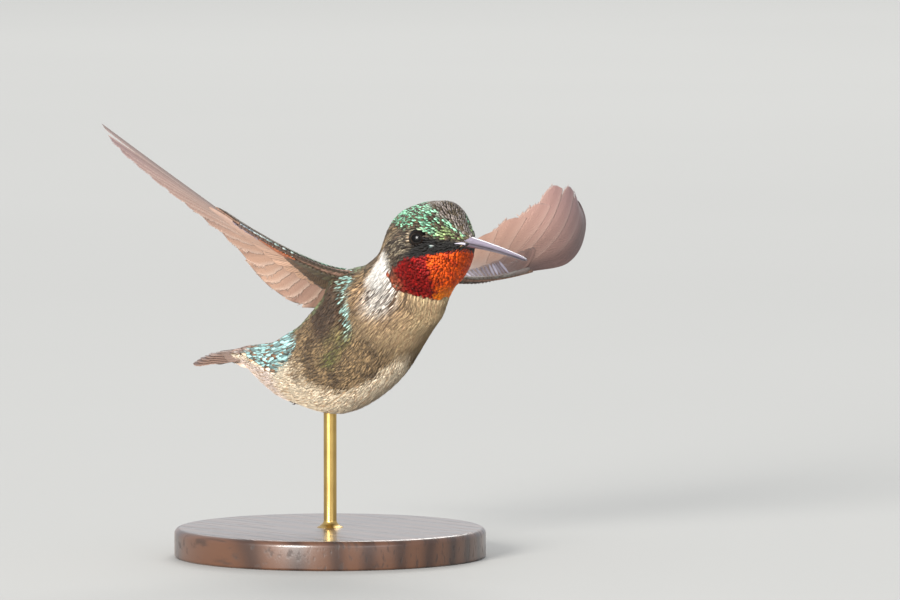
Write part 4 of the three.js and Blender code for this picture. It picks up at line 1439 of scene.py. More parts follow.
@dataclass
class Vanes:
    """The vanes of one tier, as places on a flat sheet: arrays by vane, section and ring point."""

    s: Array
    c: Array
    height: Array
    across: Array
    along: Array

    @classmethod
    def of(cls, tier: Tier, start: Array, end: Array, bow: Array, wide: Array, lift: Array,
           rng: Random) -> "Vanes":
        """Lays out long vanes.

        The middle line of each is the parabola from root to tip that is drawn aside by the bow.
        Across it, a ring of points runs over the top from the front edge to the rear one, and back
        underneath; one column lies on the shaft. The vane is thickest in the middle, with a ridge
        over the shaft, and rolled so that one edge stands higher. Its rear edge is ragged. The
        front edge of a flight feather runs ahead of the rear one toward the tip.

        Args:
            tier: The tier's sizes.
            start: Roots on the sheet.
            end: Tips on the sheet.
            bow: How far each is drawn aside.
            wide: Half widths.
            lift: Heights over the sheet.
            rng: Random numbers for the ragged edge.

        Returns:
            The vanes.
        """
        share = np.linspace(0, 1, tier.sections) ** SECTION_POWER
        run = end - start
        normal = unit(beside(-run[:, 1], run[:, 0]))
        middle = (start + end) / 2 + normal * bow[:, None]
        t = share[None, :, None]
        line = (1 - t) ** 2 * start[:, None] + 2 * t * (1 - t) * middle[:, None] + t * t * end[:, None]
        way = unit(2 * (1 - t) * (middle - start)[:, None] + 2 * t * (end - middle)[:, None])
        u = np.concatenate([[0], np.linspace(0.03, 0.97, tier.columns - 2), [1]])
        u[np.abs(u - tier.shaft).argmin()] = tier.shaft
        ring = np.concatenate([u, u[::-1]])
        face = np.repeat([1.0, -1.0], tier.columns)
        front, rear = vane_width(share, tier.round_front), vane_width(share, tier.round_rear)
        width = np.where(ring < 0.5, front[:, None], rear[:, None])
        torn = 1 + tier.ragged * (rng.random((len(start), tier.sections)) - 0.5) * (0.4 + 1.6 * share)
        off = (2 * ring - 1) * wide[:, None, None] * width
        off = off * np.where(ring > 0.96, torn[..., None], 1.0)
        half = tier.thick / 2 * (0.35 + 0.65 * (1 - (2 * ring - 1) ** 2))
        half = half + bell(ring, tier.shaft, 0.09) * tier.thick * 0.3
        slim = (1 - 0.6 * share)[None, :, None]
        height = lift[:, None, None] + tier.roll * (2 * ring - 1) + face * half * slim
        ahead = -off * TIP_LEAN * share[None, :, None] ** 2 * (tier.lift == 0)
        s = line[..., 0:1] - way[..., 1:2] * off + way[..., 0:1] * ahead
        c = line[..., 1:2] + way[..., 0:1] * off + way[..., 1:2] * ahead
        shape = s.shape
        return cls(s, c, np.broadcast_to(height, shape), np.broadcast_to(ring, shape),
                   np.broadcast_to(share[:, None], shape))

    def fringe(self, tier: Tier, rng: Random) -> "Vanes":
        """Loose barb ends along the rear edge and tip of each vane.

        Each is a sliver of four rings of four points. It starts just inside the edge, at an even
        share of the vane's outer part, and runs between the vane's own way and straight out.

        Args:
            tier: The tier, with the number of slivers for each vane.
            rng: Random numbers.

        Returns:
            The slivers.
        """
        count = len(self.s)
        rear = self.columns - 1
        at = 0.66 + 0.33 * (np.arange(tier.fringe) + rng.random((count, tier.fringe))) / tier.fringe
        row = np.clip(at ** (1 / SECTION_POWER) * (tier.sections - 1), 0, tier.sections - 1.001)
        low, part = row.astype(int), (row % 1)[..., None]
        vane = np.arange(count)[:, None]
        edge = beside(self.s[..., rear], self.c[..., rear], self.height[..., rear])
        inner = beside(self.s[..., rear - 1], self.c[..., rear - 1], self.height[..., rear - 1])
        start = edge[vane, low] * (1 - part) + edge[vane, low + 1] * part
        way = unit(edge[vane, low + 1] - edge[vane, low])
        out = unit(start - (inner[vane, low] * (1 - part) + inner[vane, low + 1] * part))
        swing = (rng.random(at.shape) * 0.25 + 0.2)[..., None]
        run = unit(way * (1 - swing) + out * swing)
        long = (0.45 + 0.75 * rng.random(at.shape))[..., None, None]
        share = np.array([0.0, 0.4, 0.75, 1.0])[:, None]
        aside = unit(beside(-run[..., 1], run[..., 0], 0 * run[..., 0]))
        thin = np.array([1.0, 0.9, 0.6, 0.06])[:, None] * 0.1
        high = np.array([0.0, 0.15, 0.0, -0.15])
        line = start[..., None, None, :] + run[..., None, None, :] * ((share - 0.25) * long)[..., None]
        place = line + aside[..., None, None, :] * (thin * ACROSS)[..., None]
        shape = (count * tier.fringe, 4, 4)
        place = place.reshape(shape + (3,))
        return Vanes(place[..., 0], place[..., 1], place[..., 2] + thin * high,
                     np.full(shape, 0.97), np.broadcast_to(at.reshape(-1, 1, 1), shape))

    @property
    def columns(self) -> int:
        """Number of points on one face of a ring."""
        return self.s.shape[2] // 2

    def piece(self, name: str, points: Array, tint: Array, home: Array) -> Piece:
        """The vanes as a piece.

        Args:
            name: Its name.
            points: The points in space.
            tint: Colour and gloss of each point.
            home: Place of each vane on the map for baking.

        Returns:
            The piece.
        """
        vane = beside(self.across, self.along)
        bake = home[:, None, None] + vane * BAKE_PATCH
        return Piece(name, points, many_tubes(*self.s.shape), tint, vane, bake)


PRIMARIES = Tier(
    10, ((11.6, 0.17), (21.5, 0.085)), ((16.2, 1), (47.1, 1)), (2.3, 1.6), 0,
    (0xDEB296, 0xDEB094, 0xDCAC92, 0xCEA294, 0xB89094),
    0xFADECC, sections=60, columns=8, thick=0.05, round_front=0.975, round_rear=0.6,
    ragged=0.14, shaft=0.34, fringe=30, bow=(0.3, -0.2), roll=-0.032)
SECONDARIES = Tier(
    6, ((1.9, 0.2), (10.6, 0.18)), ((1.2, 1), (13.5, 1)), (2, 2.15), 0,
    (0xC49C8A, 0xDCB096), 0xFADECA, sections=34, columns=8, thick=0.05,
    round_front=0.96, round_rear=0.65, ragged=0.1, shaft=0.36, fringe=18, bow=(0.2, 0.3), roll=-0.032)
UPPER_COVERTS = (
    Tier(15, ((1.6, 0.13), (21.5, 0.07)), ((1.3, 0.5), (26.5, 0.36)), (1.35, 0.75), 0.11,
         (0x826454, 0x9C7868, 0x86675C, 0x5C4440), 0x765A4E,
         sections=16, columns=6, thick=0.05, bow=(0.1, -0.2)),
    Tier(20, ((1.6, 0.1), (20.5, 0.06)), ((1.6, 0.34), (24.5, 0.25)), (0.95, 0.62), 0.16,
         (0x765C4C, 0x8C6A5C, 0x7C5F56, 0x5C4440), 0x6C5248,
         sections=12, thick=0.06),
    Tier(11, ((0.8, 0.05), (8.4, 0.045)), ((1.8, 0.26), (9.8, 0.2)), (0.6, 0.5), 0.22,
         (0x607254, 0x766452), 0x544236, 0x7CA078, 0.15),
    Tier(15, ((10.6, 0.06), (19.6, 0.05)), ((11, 0.46), (20, 0.36)), (0.27, 0.22), 0.23,
         (0x7C6C74, 0x948694, 0x806E76, 0x785E5A), 0x604A46,
         0xCEC6D8, 0.12, 12, thick=0.06, round_front=0.45, round_rear=0.4),
    Tier(30, ((0.6, 0), (21.8, 0)), ((1.6, 0.1), (23.5, 0.07)), (0.5, 0.36), 0.2,
         (0xA0D6BE, 0x7E7064, 0x765A52), 0x605C4E, 0x9C968E, 0.1, 8,
         roll=-0.03),
)
UNDER_COVERTS = (
    Tier(13, ((1.8, 0.13), (19.5, 0.08)), ((2.2, 0.5), (25, 0.36)), (1.5, 1), -0.1,
         (0x8A6E56, 0xC09A82, 0xC8A08C), 0xB08A74, sections=16,
         columns=6, thick=0.05, bow=(0.1, 0)),
    Tier(9, ((1.8, 0.1), (8.8, 0.07)), ((2.4, 0.52), (10.2, 0.2)), (1.2, 0.75), -0.15,
         (0x544230, 0x68503C), 0x3A2C22, sections=12, thick=0.06),
    Tier(11, ((1.2, 0.06), (8.6, 0.04)), ((2, 0.32), (10, 0.12)), (0.8, 0.5), -0.2,
         (0x4C3C2C, 0x604A38), 0x362A20, 0x686248, 0.05),
    Tier(13, ((8.8, 0.02), (15.4, 0.02)), ((10.4, 0.16), (17, 0.13)), (0.55, 0.4), -0.2,
         (0xB05E32, 0xB06036, 0xA86240), 0x78422A),
    Tier(5, ((15.6, 0.02), (19.8, 0.02)), ((16.2, 0.14), (20.4, 0.11)), (0.42, 0.36), -0.24,
         (0x78727E, 0x8C8292, 0x988896, 0x826868), 0x544242,
         gloss=0.2, sections=8, thick=0.2, roll=-0.03),
    Tier(28, ((0.2, -0.036), (18.8, -0.036)), ((0.9, -0.02), (19.4, 0)), (0.13, 0.2), -0.22,
         (0x423626, 0x5A4436, 0x74584E, 0x7E625C), 0x342820, gloss=0.1,
         sections=8, thick=0.3, roll=-0.03),
    Tier(9, ((9.4, 0), (18.6, 0)), ((9.9, -0.05), (19.2, -0.04)), (0.34, 0.27), -0.06,
         (0x96BEB0, 0xAAD8C8, 0xA4A6BA), 0x546060, 0xF0FCF8, 0.35,
         8, thick=0.34, roll=0),
)
FLIGHT = PlumageFinish("flight_vanes", barbs=40, slant=0.3, barb_shade=0.42, shaft_shade=0.0,
                       depth=0.015, roughness=0.5)
COVERT = PlumageFinish("wing_coverts", barbs=6, slant=1.0, barb_shade=0.2, depth=0.03, roughness=0.6)


def tone_at(place: Array, tones: tuple[int, ...]) -> Array:
    """The colour at distances along the wing, straight between the tones given."""
    table = np.array([srgb(tone) for tone in tones])
    return np.stack([np.interp(place, TONES_AT[:len(tones)], table[:, i]) for i in range(3)], -1)


@dataclass(frozen=True)
class Wing:
    """One wing: its bare arm, flight feathers and coverts."""

    side: Side
    arm_length: float = 24.0
    arm_wide: Pair = (1.25, 0.25)
    arm_thick: Pair = (0.8, 0.14)

    @property
    def sheet(self) -> WingSheet:
        """The sheet that its feathers lie on."""
        return WING_SHEETS[self.side]

    def arm_size(self, s: Array) -> tuple[Array, Array]:
        """Half width and half thickness of the arm, falling with the square root of the distance
        from the shoulder."""
        share = np.sqrt(np.clip((s + WING_ROOT) / (self.arm_length + WING_ROOT), 0, 1))
        return between(self.arm_wide, share), between(self.arm_thick, share)

    def hug(self, s: Array, c: Array) -> Array:
        """How high feathers lie to pass over the arm: its thickness times 1 - q^6, with q the
        distance from its middle against its half width."""
        wide, thick = self.arm_size(s)
        q = np.clip(np.abs(c - 0.75 * wide) / wide, 0, 1)
        return thick * (1 - q ** 6) * fall(s, self.arm_length - 2, self.arm_length)

    def build(self) -> list[Object]:
        """The flight feathers, the coverts and the arm."""
        rng = np.random.default_rng(SEED + 1)
        node = f"wing_{self.side.word}"
        flight = [self.tier(tier, rng) for tier in (PRIMARIES, SECONDARIES)]
        parts = [part for pair in flight for part in pair]
        coverts = [self.tier(tier, rng)[0] for tier in UPPER_COVERTS + UNDER_COVERTS]
        return [
            joined(f"{node}_flight", parts).build(FLIGHT.build(), "wing_feathers", (node,)),
            joined(f"{node}_coverts", coverts).build(COVERT.build(), "wing_feathers"),
            self.arm(f"{node}_arm").build(SkinFinish("arm_skin").build(), "wing_feathers"),
        ]

    def tier(self, tier: Tier, rng: Random) -> list[Piece]:
        """One tier of vanes, and their fringe where they have one.

        Roots run evenly from the first to the last. The share that is left before the last tip is
        taken to the power TIP_CROWDING, which crowds the tips toward the outer end. The tips of
        the primaries are moved out to where the sheet has them, and end at its tip_shares of the
        chord. Tiers under the sheet lie back by its under_back.

        Args:
            tier: The tier.
            rng: Random numbers.

        Returns:
            The pieces.
        """
        share = np.linspace(0, 1, tier.count)

        def placed(ends: tuple[Pair, Pair], at: Array, slip: Array) -> Array:
            """Places between the first and last end, as s and c."""
            s, chords = (between(pair, at) for pair in zip(*ends))
            return beside(s * slip, chords * self.sheet.chord(s * slip))

        start = placed(tier.root, share, np.ones(tier.count))
        late = 1 - (1 - share) ** TIP_CROWDING
        end = placed(tier.tip, late, 1 + TIP_CHANCE * (rng.random(tier.count) - 0.5))
        if tier is PRIMARIES:
            end[:, 0] += (self.sheet.last_tip - tier.tip[1][0]) * late
            end[-1, 0] -= self.sheet.outer_short
            end[:, 1] = self.sheet.chord(end[:, 0]) * self.sheet.tip_shares
        if tier.lift < 0:
            start[:, 1] += self.sheet.under_back
            end[:, 1] += self.sheet.under_back
        wide = between(tier.half_width, share) * (1 + WIDTH_CHANCE * (rng.random(tier.count) - 0.5))
        lift = tier.lift + LIFT_CHANCE * (rng.random(tier.count) - 0.5) * (tier.lift != 0)
        vanes = Vanes.of(tier, start, end, between(tier.bow, share), wide, lift, rng)
        luck = rng.random((2, tier.count))
        home = beside(0.02 + 0.9 * share, np.full(tier.count, 0.5 + 0.3 * tier.lift))
        pieces = [self.dress(tier, vanes, luck, home)]
        if tier.fringe:
            many = np.repeat(luck, tier.fringe, 1), np.repeat(home, tier.fringe, 0)
            pieces.append(self.dress(tier, vanes.fringe(tier, rng), *many))
        return pieces

    def dress(self, tier: Tier, vanes: Vanes, luck: Array, home: Array) -> Piece:
        """Puts vanes on the sheet, over the arm where it is in their way, and colours them."""
        height = vanes.height + np.sign(tier.lift) * self.hug(vanes.s, vanes.c)
        points = self.sheet.point(vanes.s, vanes.c, height)
        return vanes.piece("vanes", points, self.tint(tier, vanes, luck), home)

    def tint(self, tier: Tier, vanes: Vanes, luck: Array) -> Array:
        """Colours of the vanes of one tier.

        Flight feathers are darker along the leading edge and over the middle of the outer wing,
        along their shafts and, as painted shade, on both faces, the upper one more; they are pale
        at their rims. Coverts take a painted glint by chance, and those underneath are dulled as
        the sheet says, which on the far wing is painted shade.

        Args:
            tier: The tier.
            vanes: Its vanes.
            luck: Two random numbers for each vane.

        Returns:
            Colour and gloss for each point.
        """
        luck = luck[:, :, None, None]
        edge = srgb(tier.edge)
        colour = tone_at(vanes.s, tier.tones)
        if tier.lift == 0:
            lead = fall(vanes.c, 0.8, 2.8) * smooth(vanes.s, 15, 22)
            colour = blend(colour, srgb(0x5C4240), lead * 0.85)
            inward = vanes.c / np.maximum(self.sheet.chord(vanes.s), 0.5)
            dusk = smooth(vanes.s, 20, 30) * fall(inward, 0.3, 0.65)
            colour = blend(colour, srgb(0x9C766C), dusk * 0.45)
            upper = np.arange(colour.shape[2]) < colour.shape[2] / 2
            clear = smooth(vanes.along, 0.2, 0.42) * np.where(upper, 0.35, 1.0)
            shaft = bell(vanes.across, tier.shaft, 0.03)
            colour = blend(colour, srgb(0x846052), shaft * 0.45 * clear)
            rims = np.maximum(smooth(vanes.across, 0.86, 0.97), smooth(0.12 - vanes.across, 0, 0.1))
            colour = blend(colour, edge, rims * 0.5 * (1 - lead) * clear)
            colour = colour * (0.95 + 0.1 * luck[0])[..., None]
            # Painted shade: the upper faces darker than the undersides.
            colour = colour * np.where(upper, DORSAL_PAINTED_SHADE, VENTRAL_PAINTED_SHADE)[:, None]
        else:
            # Painted shade: on the far wing the coverts underneath are dulled toward brown and keep no
            # painted glints.
            if tier.lift < 0:
                colour = blend(colour, srgb(0x6C5246), self.sheet.under_dull)
            # Painted glints: some coverts take the glint colour by chance.
            if tier.painted_glint is not None and not (tier.lift < 0 and self.sheet.under_dull):
                colour = blend(colour, srgb(tier.painted_glint), luck[1] ** 2)
            colour = colour * np.exp((luck[0] - 0.5) * 0.5)[..., None]
            rim = np.maximum(np.abs(2 * vanes.across - 1) ** 3, smooth(vanes.along, 0.82, 1.0) * 0.8)
            colour = blend(colour, edge, rim * 0.7)
        return with_gloss(colour, tier.gloss)

    def arm(self, name: str) -> Piece:
        """The arm and hand along the leading edge, as a tube of oval rings."""
        share = np.linspace(0, 1, 40)[:, None]
        angle = circle(20)[None]
        s = share * (self.arm_length + WING_ROOT) - WING_ROOT
        wide, thick = self.arm_size(s)
        points = self.sheet.point(s, wide * (0.75 - np.cos(angle)), thick * np.sin(angle))
        tint = np.broadcast_to(np.append(srgb(0x927464), 0.0), points.shape[:2] + (4,))
        bake = np.stack(np.broadcast_arrays(angle / (2 * math.pi), share), -1)
        return Piece(name, points, tube_quads(*points.shape[:2]), tint, bake, bake)


TAIL_ROOT = -18.2
RECTRICES = 5


@dataclass(frozen=True)
class Tail:
    """The tail feathers and the coverts over and under their roots.

    Side is 1 to the right of the middle and -1 to the left.
    """

    length: float = 11.6
    fork: float = 2.0
    dome: float = 0.2
    lift: float = 0.1
    half_width: float = 1.05
    root: float = -1.5
    root_step: float = 0.16
    tip_step: float = 0.42
    top: float = 0.55
    step: float = 0.17
    coverts: int = 6
    covert_half_width: float = 0.62

    def point(self, s: Array, c: Array, height: Array) -> Array:
        """Points of the tail's sheet: a plane that rises by lift for each millimetre back, domed by
        the square of c.

        Args:
            s: Distance back from its root.
            c: Distance to the right.
            height: Height over it.

        Returns:
            Points in millimetres.
        """
        s, c, height = np.broadcast_arrays(s, c, height)
        row = curve(np.array([TAIL_ROOT]), BODY_STATIONS[:, 0], BODY_STATIONS[:, 1:])[0]
        pitch = math.radians(row[1])
        back = np.array([-math.cos(pitch), 0, -math.sin(pitch)])
        up = np.array([-math.sin(pitch), 0, math.cos(pitch)])
        right = np.array([0.0, -1.0, 0.0])
        raised = height + self.lift * s - self.dome * c * c
        origin = np.array([TAIL_ROOT, 0, row[0]])
        return origin + back * s[..., None] + right * c[..., None] + up * raised[..., None]

    def build(self) -> list[Object]:
        """The fan and its coverts."""
        rng = np.random.default_rng(SEED + 2)
        fan = joined("tail_fan", [self.fan(side, rng) for side in (-1, 1)])
        coverts = [self.cover(side, above, rng) for side in (-1, 1) for above in (-1, 1)]
        return [fan.build(FLIGHT.build(), "tail_feathers", ("tail",)),
                joined("tail_coverts", coverts).build(COVERT.build(), "tail_feathers")]

    def fan(self, side: int, rng: Random) -> Piece:
        """The five feathers of one side, the middle ones on top and the outer ones longest.

        Args:
            side: The side.
            rng: Random numbers.

        Returns:
            The piece.
        """
        tier = Tier(RECTRICES, sections=44, columns=8, thick=0.16, round_front=0.84, round_rear=0.84,
                    ragged=0.06, roll=0.05 * side)
        i = np.arange(RECTRICES)
        share = i / (RECTRICES - 1)
        start = beside(np.full(RECTRICES, self.root), side * (i + 0.5) * self.root_step)
        length = self.length - self.fork * (1 - share)
        length = length * (1 + 0.02 * (rng.random(RECTRICES) - 0.5))
        end = beside(length, side * (i + 0.6) * self.tip_step)
        lift = self.top - self.step * i - 0.06 * side
        wide = self.half_width * (1 - 0.18 * share)
        vanes = Vanes.of(tier, start, end, -side * 0.15 * i, wide, lift, rng)
        colour = blend(srgb(0x564A48), srgb(0x58443C), smooth(vanes.along, 0.3, 0.8))
        edge = np.abs(2 * vanes.across - 1) ** 4
        colour = blend(colour, srgb(0xBE9882), edge * 0.4)
        colour = blend(colour, srgb(0x462E2E), bell(vanes.across, 0.5, 0.06) * 0.6)
        home = beside(0.02 + 0.4 * share + 0.5 * (side > 0), np.full(RECTRICES, 0.3))
        points = self.point(vanes.s, vanes.c, vanes.height)
        return vanes.piece("fan", points, with_gloss(colour, 0.1), home)

    def cover(self, side: int, above: int, rng: Random) -> Piece:
        """The coverts of one side, over the tail or under it.

        Args:
            side: The side.
            above: 1 for those over the tail and -1 for those under it.
            rng: Random numbers.

        Returns:
            The piece.
        """
        over = above > 0
        tier = Tier(self.coverts, sections=18, round_front=0.6, round_rear=0.6, roll=0.0)
        i = np.arange(self.coverts) / 2
        start = beside(-2.4 - 0.5 * i, side * (0.2 + 0.5 * i))
        reach = (7.6 if over else 4.8) - 1.5 * i
        end = beside(reach * (1 + 0.1 * (rng.random(self.coverts) - 0.5)), side * (0.3 + 0.62 * i))
        lift = -above * (0.14 * i + 0.05 * side)
        wide = np.full(self.coverts, self.covert_half_width)
        vanes = Vanes.of(tier, start, end, 0 * i, wide, lift, rng)
        rise = 1.75 + (vanes.s + 3) / (10 if over else 8) * ((0.9 if over else 0.5) - 1.75)
        height = above * rise - 0.1 * vanes.c ** 2 * above + vanes.height
        main, edge = (Hue.TAIL_COVERT, Hue.RUMP_EDGE) if over else (Hue.VENT, Hue.TAN)
        rim = np.maximum(np.abs(2 * vanes.across - 1) ** 3, smooth(vanes.along, 0.85, 1.0))
        tint = with_gloss(blend(main.linear, edge.linear, rim * 0.7), 0.25 * over)
        home = beside(0.02 + 0.12 * i + 0.5 * (side > 0), np.full(self.coverts, 0.6 + 0.2 * above))
        return vanes.piece("coverts", self.point(vanes.s, vanes.c, height), tint, home)


# ---- head furniture

def sweep(line: Array, radius: Array, around: int) -> tuple[Array, Array]:
    """A closed round tube along a line.

    Each ring lies square to the line, on two axes made from the line's way and the upright.

    Args:
        line: Points of the middle line, in millimetres.
        radius: The radius at each.
        around: Number of points in a ring.

    Returns:
        Points by ring and place in it, and the faces.
    """
    way = unit(np.gradient(line, axis=0))
    first = unit(np.cross(way, np.array([0.05, 1.0, 0.1])))
    second = np.cross(way, first)
    angle = circle(around)
    ring = first[:, None] * np.cos(angle)[:, None] + second[:, None] * np.sin(angle)[:, None]
    return line[:, None] + ring * radius[:, None, None], tube_quads(len(line), around)


@dataclass(frozen=True)
class Eye:
    """An eyeball and the lids round it."""

    side: Side
    radius: float = EYE_RADIUS
    rings: int = 36
    around: int = 48
    open_wide: float = 0.82
    open_high: float = 0.62
    lid: float = 0.13
    lid_rings: int = 64
    lid_around: int = 14

    def build(self) -> list[Object]:
        """Ball and lids."""
        centre, way = eye_place(self.side)
        name = f"eye_{self.side.word}"
        finish = EyeFinish(f"wet_{name}", tuple(way), tuple(centre), self.radius)
        return [
            self.ball(centre, way).build(finish.build(), "eye", (name,)),
            self.lids(centre, way).build(SkinFinish("lid_skin").build(), "crown_feathers"),
        ]

    def round_axis(self, way: Array, angle: Array) -> Array:
        """Unit vectors square to the way the eye looks, at angles from the level one upward."""
        level = unit(np.cross(way, UP))
        return level * np.cos(angle)[..., None] + np.cross(level, way) * np.sin(angle)[..., None]

    def ball(self, centre: Array, way: Array) -> Piece:
        """A sphere whose poles lie on its axis: rings of radius r sin(a) at r cos(a).

        Args:
            centre: Its centre.
            way: Its axis.

        Returns:
            The piece.
        """
        polar = np.linspace(0.02, math.pi - 0.02, self.rings)[:, None, None]
        ring = self.round_axis(way, circle(self.around)[None])
        points = centre + self.radius * (way * np.cos(polar) + np.sin(polar) * ring)
        return Piece(f"eye_{self.side.word}_ball", points, tube_quads(self.rings, self.around))

    def lids(self, centre: Array, way: Array) -> Piece:
        """A ring of skin on the ball: a small loop carried round an almond whose half width and
        half height are given, raised where it bulges over the ball.

        Args:
            centre: The eye's centre.
            way: The way it looks.

        Returns:
            The piece.
        """
        angle = circle(self.lid_rings)[:, None]
        loop = circle(self.lid_around)[None]
        open_ = (np.cos(angle) / self.open_wide) ** 2 + (np.sin(angle) / self.open_high) ** 2
        open_ = 1 / np.sqrt(open_)
        out = open_ + self.lid * (1 - np.cos(loop)) * 0.9
        reach = self.radius + 0.01 + self.lid * np.sin(loop) * 0.3 - (out - open_) * 0.2
        polar = (out / self.radius)[..., None]
        ring = self.round_axis(way, angle)
        points = centre + reach[..., None] * (way * np.cos(polar) + np.sin(polar) * ring)
        lower = smooth(-np.sin(angle), 0.2, 0.9) + 0 * loop
        rear = smooth(np.cos(angle) * -self.side.value, 0.5, 0.95) + 0 * loop
        colour = blend(srgb(0x090808), srgb(0x4A4A46), lower * 0.06)
        colour = blend(colour, Hue.TAN.linear, rear * 0.04)
        vane = beside(loop + 0 * angle, angle + 0 * loop) / (2 * math.pi)
        home = np.array([0.25, 0.9]) + vane * BAKE_PATCH * 4
        faces = ring_quads(self.lid_rings, self.lid_around, True)
        return Piece(f"eyelids_{self.side.word}", points, faces, with_gloss(colour, 0.1), vane, home)


BILL_LENGTH = 14.4
BILL_PITCH = math.radians(4.5)
BILL_DROOP = math.radians(3.5)
BILL_START = 0.3
NOSTRIL = 0.09


@dataclass(frozen=True)
class Bill:
    """Upper and lower mandible, and the pale line of the gape behind them, which runs along the
    bird from gape_from and turns down a little."""

    width: float = 1.9
    depth: float = 1.75
    sections: int = 90
    around: int = 40
    gape_from: float = 31.55
    gape_length: float = 1.75
    gape_turn: Pair = (96, 102)

    def middle(self, q: Array) -> Array:
        """The middle line: out from the face by q of the length, dropping by the pitch and by the
        droop times q, and started a little ahead of the root."""
        ahead, _ = head_axes()
        drop = BILL_PITCH + BILL_DROOP * q
        reach = (q * BILL_LENGTH + BILL_START)[..., None]
        drop = drop[..., None]
        return BILL_ROOT + ahead * (reach * np.cos(drop)) - UP * (reach * np.sin(drop))

    def slim(self, q: Array) -> Array:
        """Share of width and depth left: 1 - 0.7 q^0.75, closed by a curve at the tip."""
        near = np.clip(q, 0, 1)
        closing = np.maximum(0.0025, 1 - np.clip((near - 0.88) / 0.12, 0, 1) ** 2) ** 0.6
        return (1 - 0.7 * near ** 0.75) * closing

    def mandible(self, name: str, upper: bool) -> Piece:
        """One mandible: a half ellipse over a nearly flat face that meets the other mandible. The
        upper one is dented at each nostril.

        Args:
            name: Its name.
            upper: Whether it is the upper one.

        Returns:
            The piece, with the Vane map running round and along it.
        """
        last, broad, share = (1.0, 1.0, 0.56) if upper else (0.985, 0.93, 0.44)
        q = np.linspace(-0.1, last, self.sections)[:, None]
        angle = circle(self.around)[None]
        wide = self.width / 2 * self.slim(q / last) * broad
        deep = self.depth * self.slim(q / last) * share
        rise = np.abs(np.sin(angle))
        outer = np.sin(angle) > 0
        high = np.where(outer, deep * rise ** 0.85, -0.08 * deep * rise)
        if upper:
            slit = bell(q, NOSTRIL, 0.035) * bell(np.abs(np.cos(angle)), 0.8, 0.12) * outer
            high = high * (1 - 0.35 * slit)
            wide = wide * (1 - 0.12 * slit)
        place = self.middle(q + 0 * angle) + head_axes()[1] * (wide * np.cos(angle))[..., None]
        place = place + UP * ((1 if upper else -1) * (high + 0.035))[..., None]
        vane = beside(np.mod(angle / (2 * math.pi) + 0.25, 1) + 0 * q, q + 0 * angle)
        return Piece(name, place, tube_quads(self.sections, self.around), vane=vane)

    def gape(self) -> Piece:
        """The pale corners of the mouth: a thin tapered roll that runs back over each cheek."""
        parts = []
        share = np.linspace(0, 1, 18)
        x = self.gape_from + self.gape_length * share
        for side in Side:
            turn = side.value * np.radians(between(self.gape_turn, share))
            line = BODY.point(x, turn) + BODY.slopes(x, turn)[2] * 0.02
            points, faces = sweep(line, 0.06 + 0.12 * smooth(share, 0.0, 0.7), 10)
            vane = np.broadcast_to([0.5, 0.0], (18, 10, 2))
            parts.append(Piece("gape", points, faces, vane=vane))
        return joined("bill_gape", parts)

    def build(self) -> list[Object]:
        """Both mandibles and the gape."""
        horn = HornFinish("bill_horn")
        # The lower mandible takes a darker horn: painted shade under the bill.
        under = HornFinish("lower_bill_horn_painted_shade", pale=0x605862, dark=0x1E1A1E)
        skin = HornFinish("gape_skin", pale=0xB0ACBA, dark=0x68626C)
        return [
            self.mandible("bill_upper", True).build(horn.build(), "bill", ("bill",)),
            self.mandible("bill_lower", False).build(under.build(), "bill"),
            self.gape().build(skin.build(), "bill"),
        ]


@dataclass(frozen=True)
class Leg:
    """A small leg with its toes clenched under the belly."""

    side: Side
    x: float = -8.2
    y: float = 2.2
    z: float = 25.0
    radius: float = 0.42
    toe_radius: float = 0.26
    claw_radius: float = 0.17
    steps: int = 22

    def line(self, *knots: Triple) -> Array:
        """A smooth line through places ahead of the ankle, outward and up."""
        ahead, out, up = np.array(knots).T
        places = beside(self.x + ahead, self.side.value * (self.y + out), self.z + up)
        return curve(np.linspace(0, 1, self.steps), np.linspace(0, 1, len(knots)), places)

    def limb(self, radius: float, taper: float, *knots: Triple) -> Piece:
        """A limb, ringed by scales: the radius swells and shrinks a little along it.

        Args:
            radius: Its radius at the first place.
            taper: The share of it that is lost toward the last.
            knots: The places that it runs through.

        Returns:
            The piece, closed at both ends.
        """
        share = np.linspace(0, 1, self.steps)
        rings = 1 + 0.05 * np.sin(share * 40)
        close = np.sqrt(np.clip(np.minimum(share, 1 - share) / 0.06, 0.02, 1))
        points, faces = sweep(self.line(*knots), radius * (1 - taper * share) * rings * close, 14)
        return Piece("limb", points, faces)

    def build(self) -> list[Object]:
        """Shank, toes and claws as one piece."""
        toe, claw = self.toe_radius, self.claw_radius
        parts = [self.limb(self.radius, 0.2, (-0.6, 0, 1.7), (0.4, 0, 0.1), (2.4, 0, -0.5))]
        for spread in (-0.7, 0.0, 0.7):
            out = spread * 1.1
            parts += [
                self.limb(toe, 0.3, (2.2, 0, -0.45), (3.6, spread, -0.4), (3.5, out, -1.35)),
                self.limb(claw, 0.85, (3.55, out, -1.1), (3.3, out, -1.6), (2.7, out, -1.65)),
            ]
        parts.append(self.limb(toe, 0.3, (2.3, 0, -0.5), (1.5, 0, -1.1), (2.2, 0, -1.45)))
        name = f"leg_{self.side.word}"
        return [joined(f"{name}_scales", parts).build(ScaleFinish().build(), "leg", (name,))]


# ---- stand and studio

def level_ring(count: int) -> Array:
    """Points evenly spread on a level circle of radius 1."""
    return beside(np.cos(circle(count)), np.sin(circle(count)), np.zeros(count))


def lathe(name: str, profile: Array, around: int) -> Piece:
    """A closed form turned about Z from rows of radius and height, the lowest first."""
    points = profile[:, :1, None] * level_ring(around) + profile[:, 1:, None] * UP
    return Piece(name, points, tube_quads(len(profile), around))


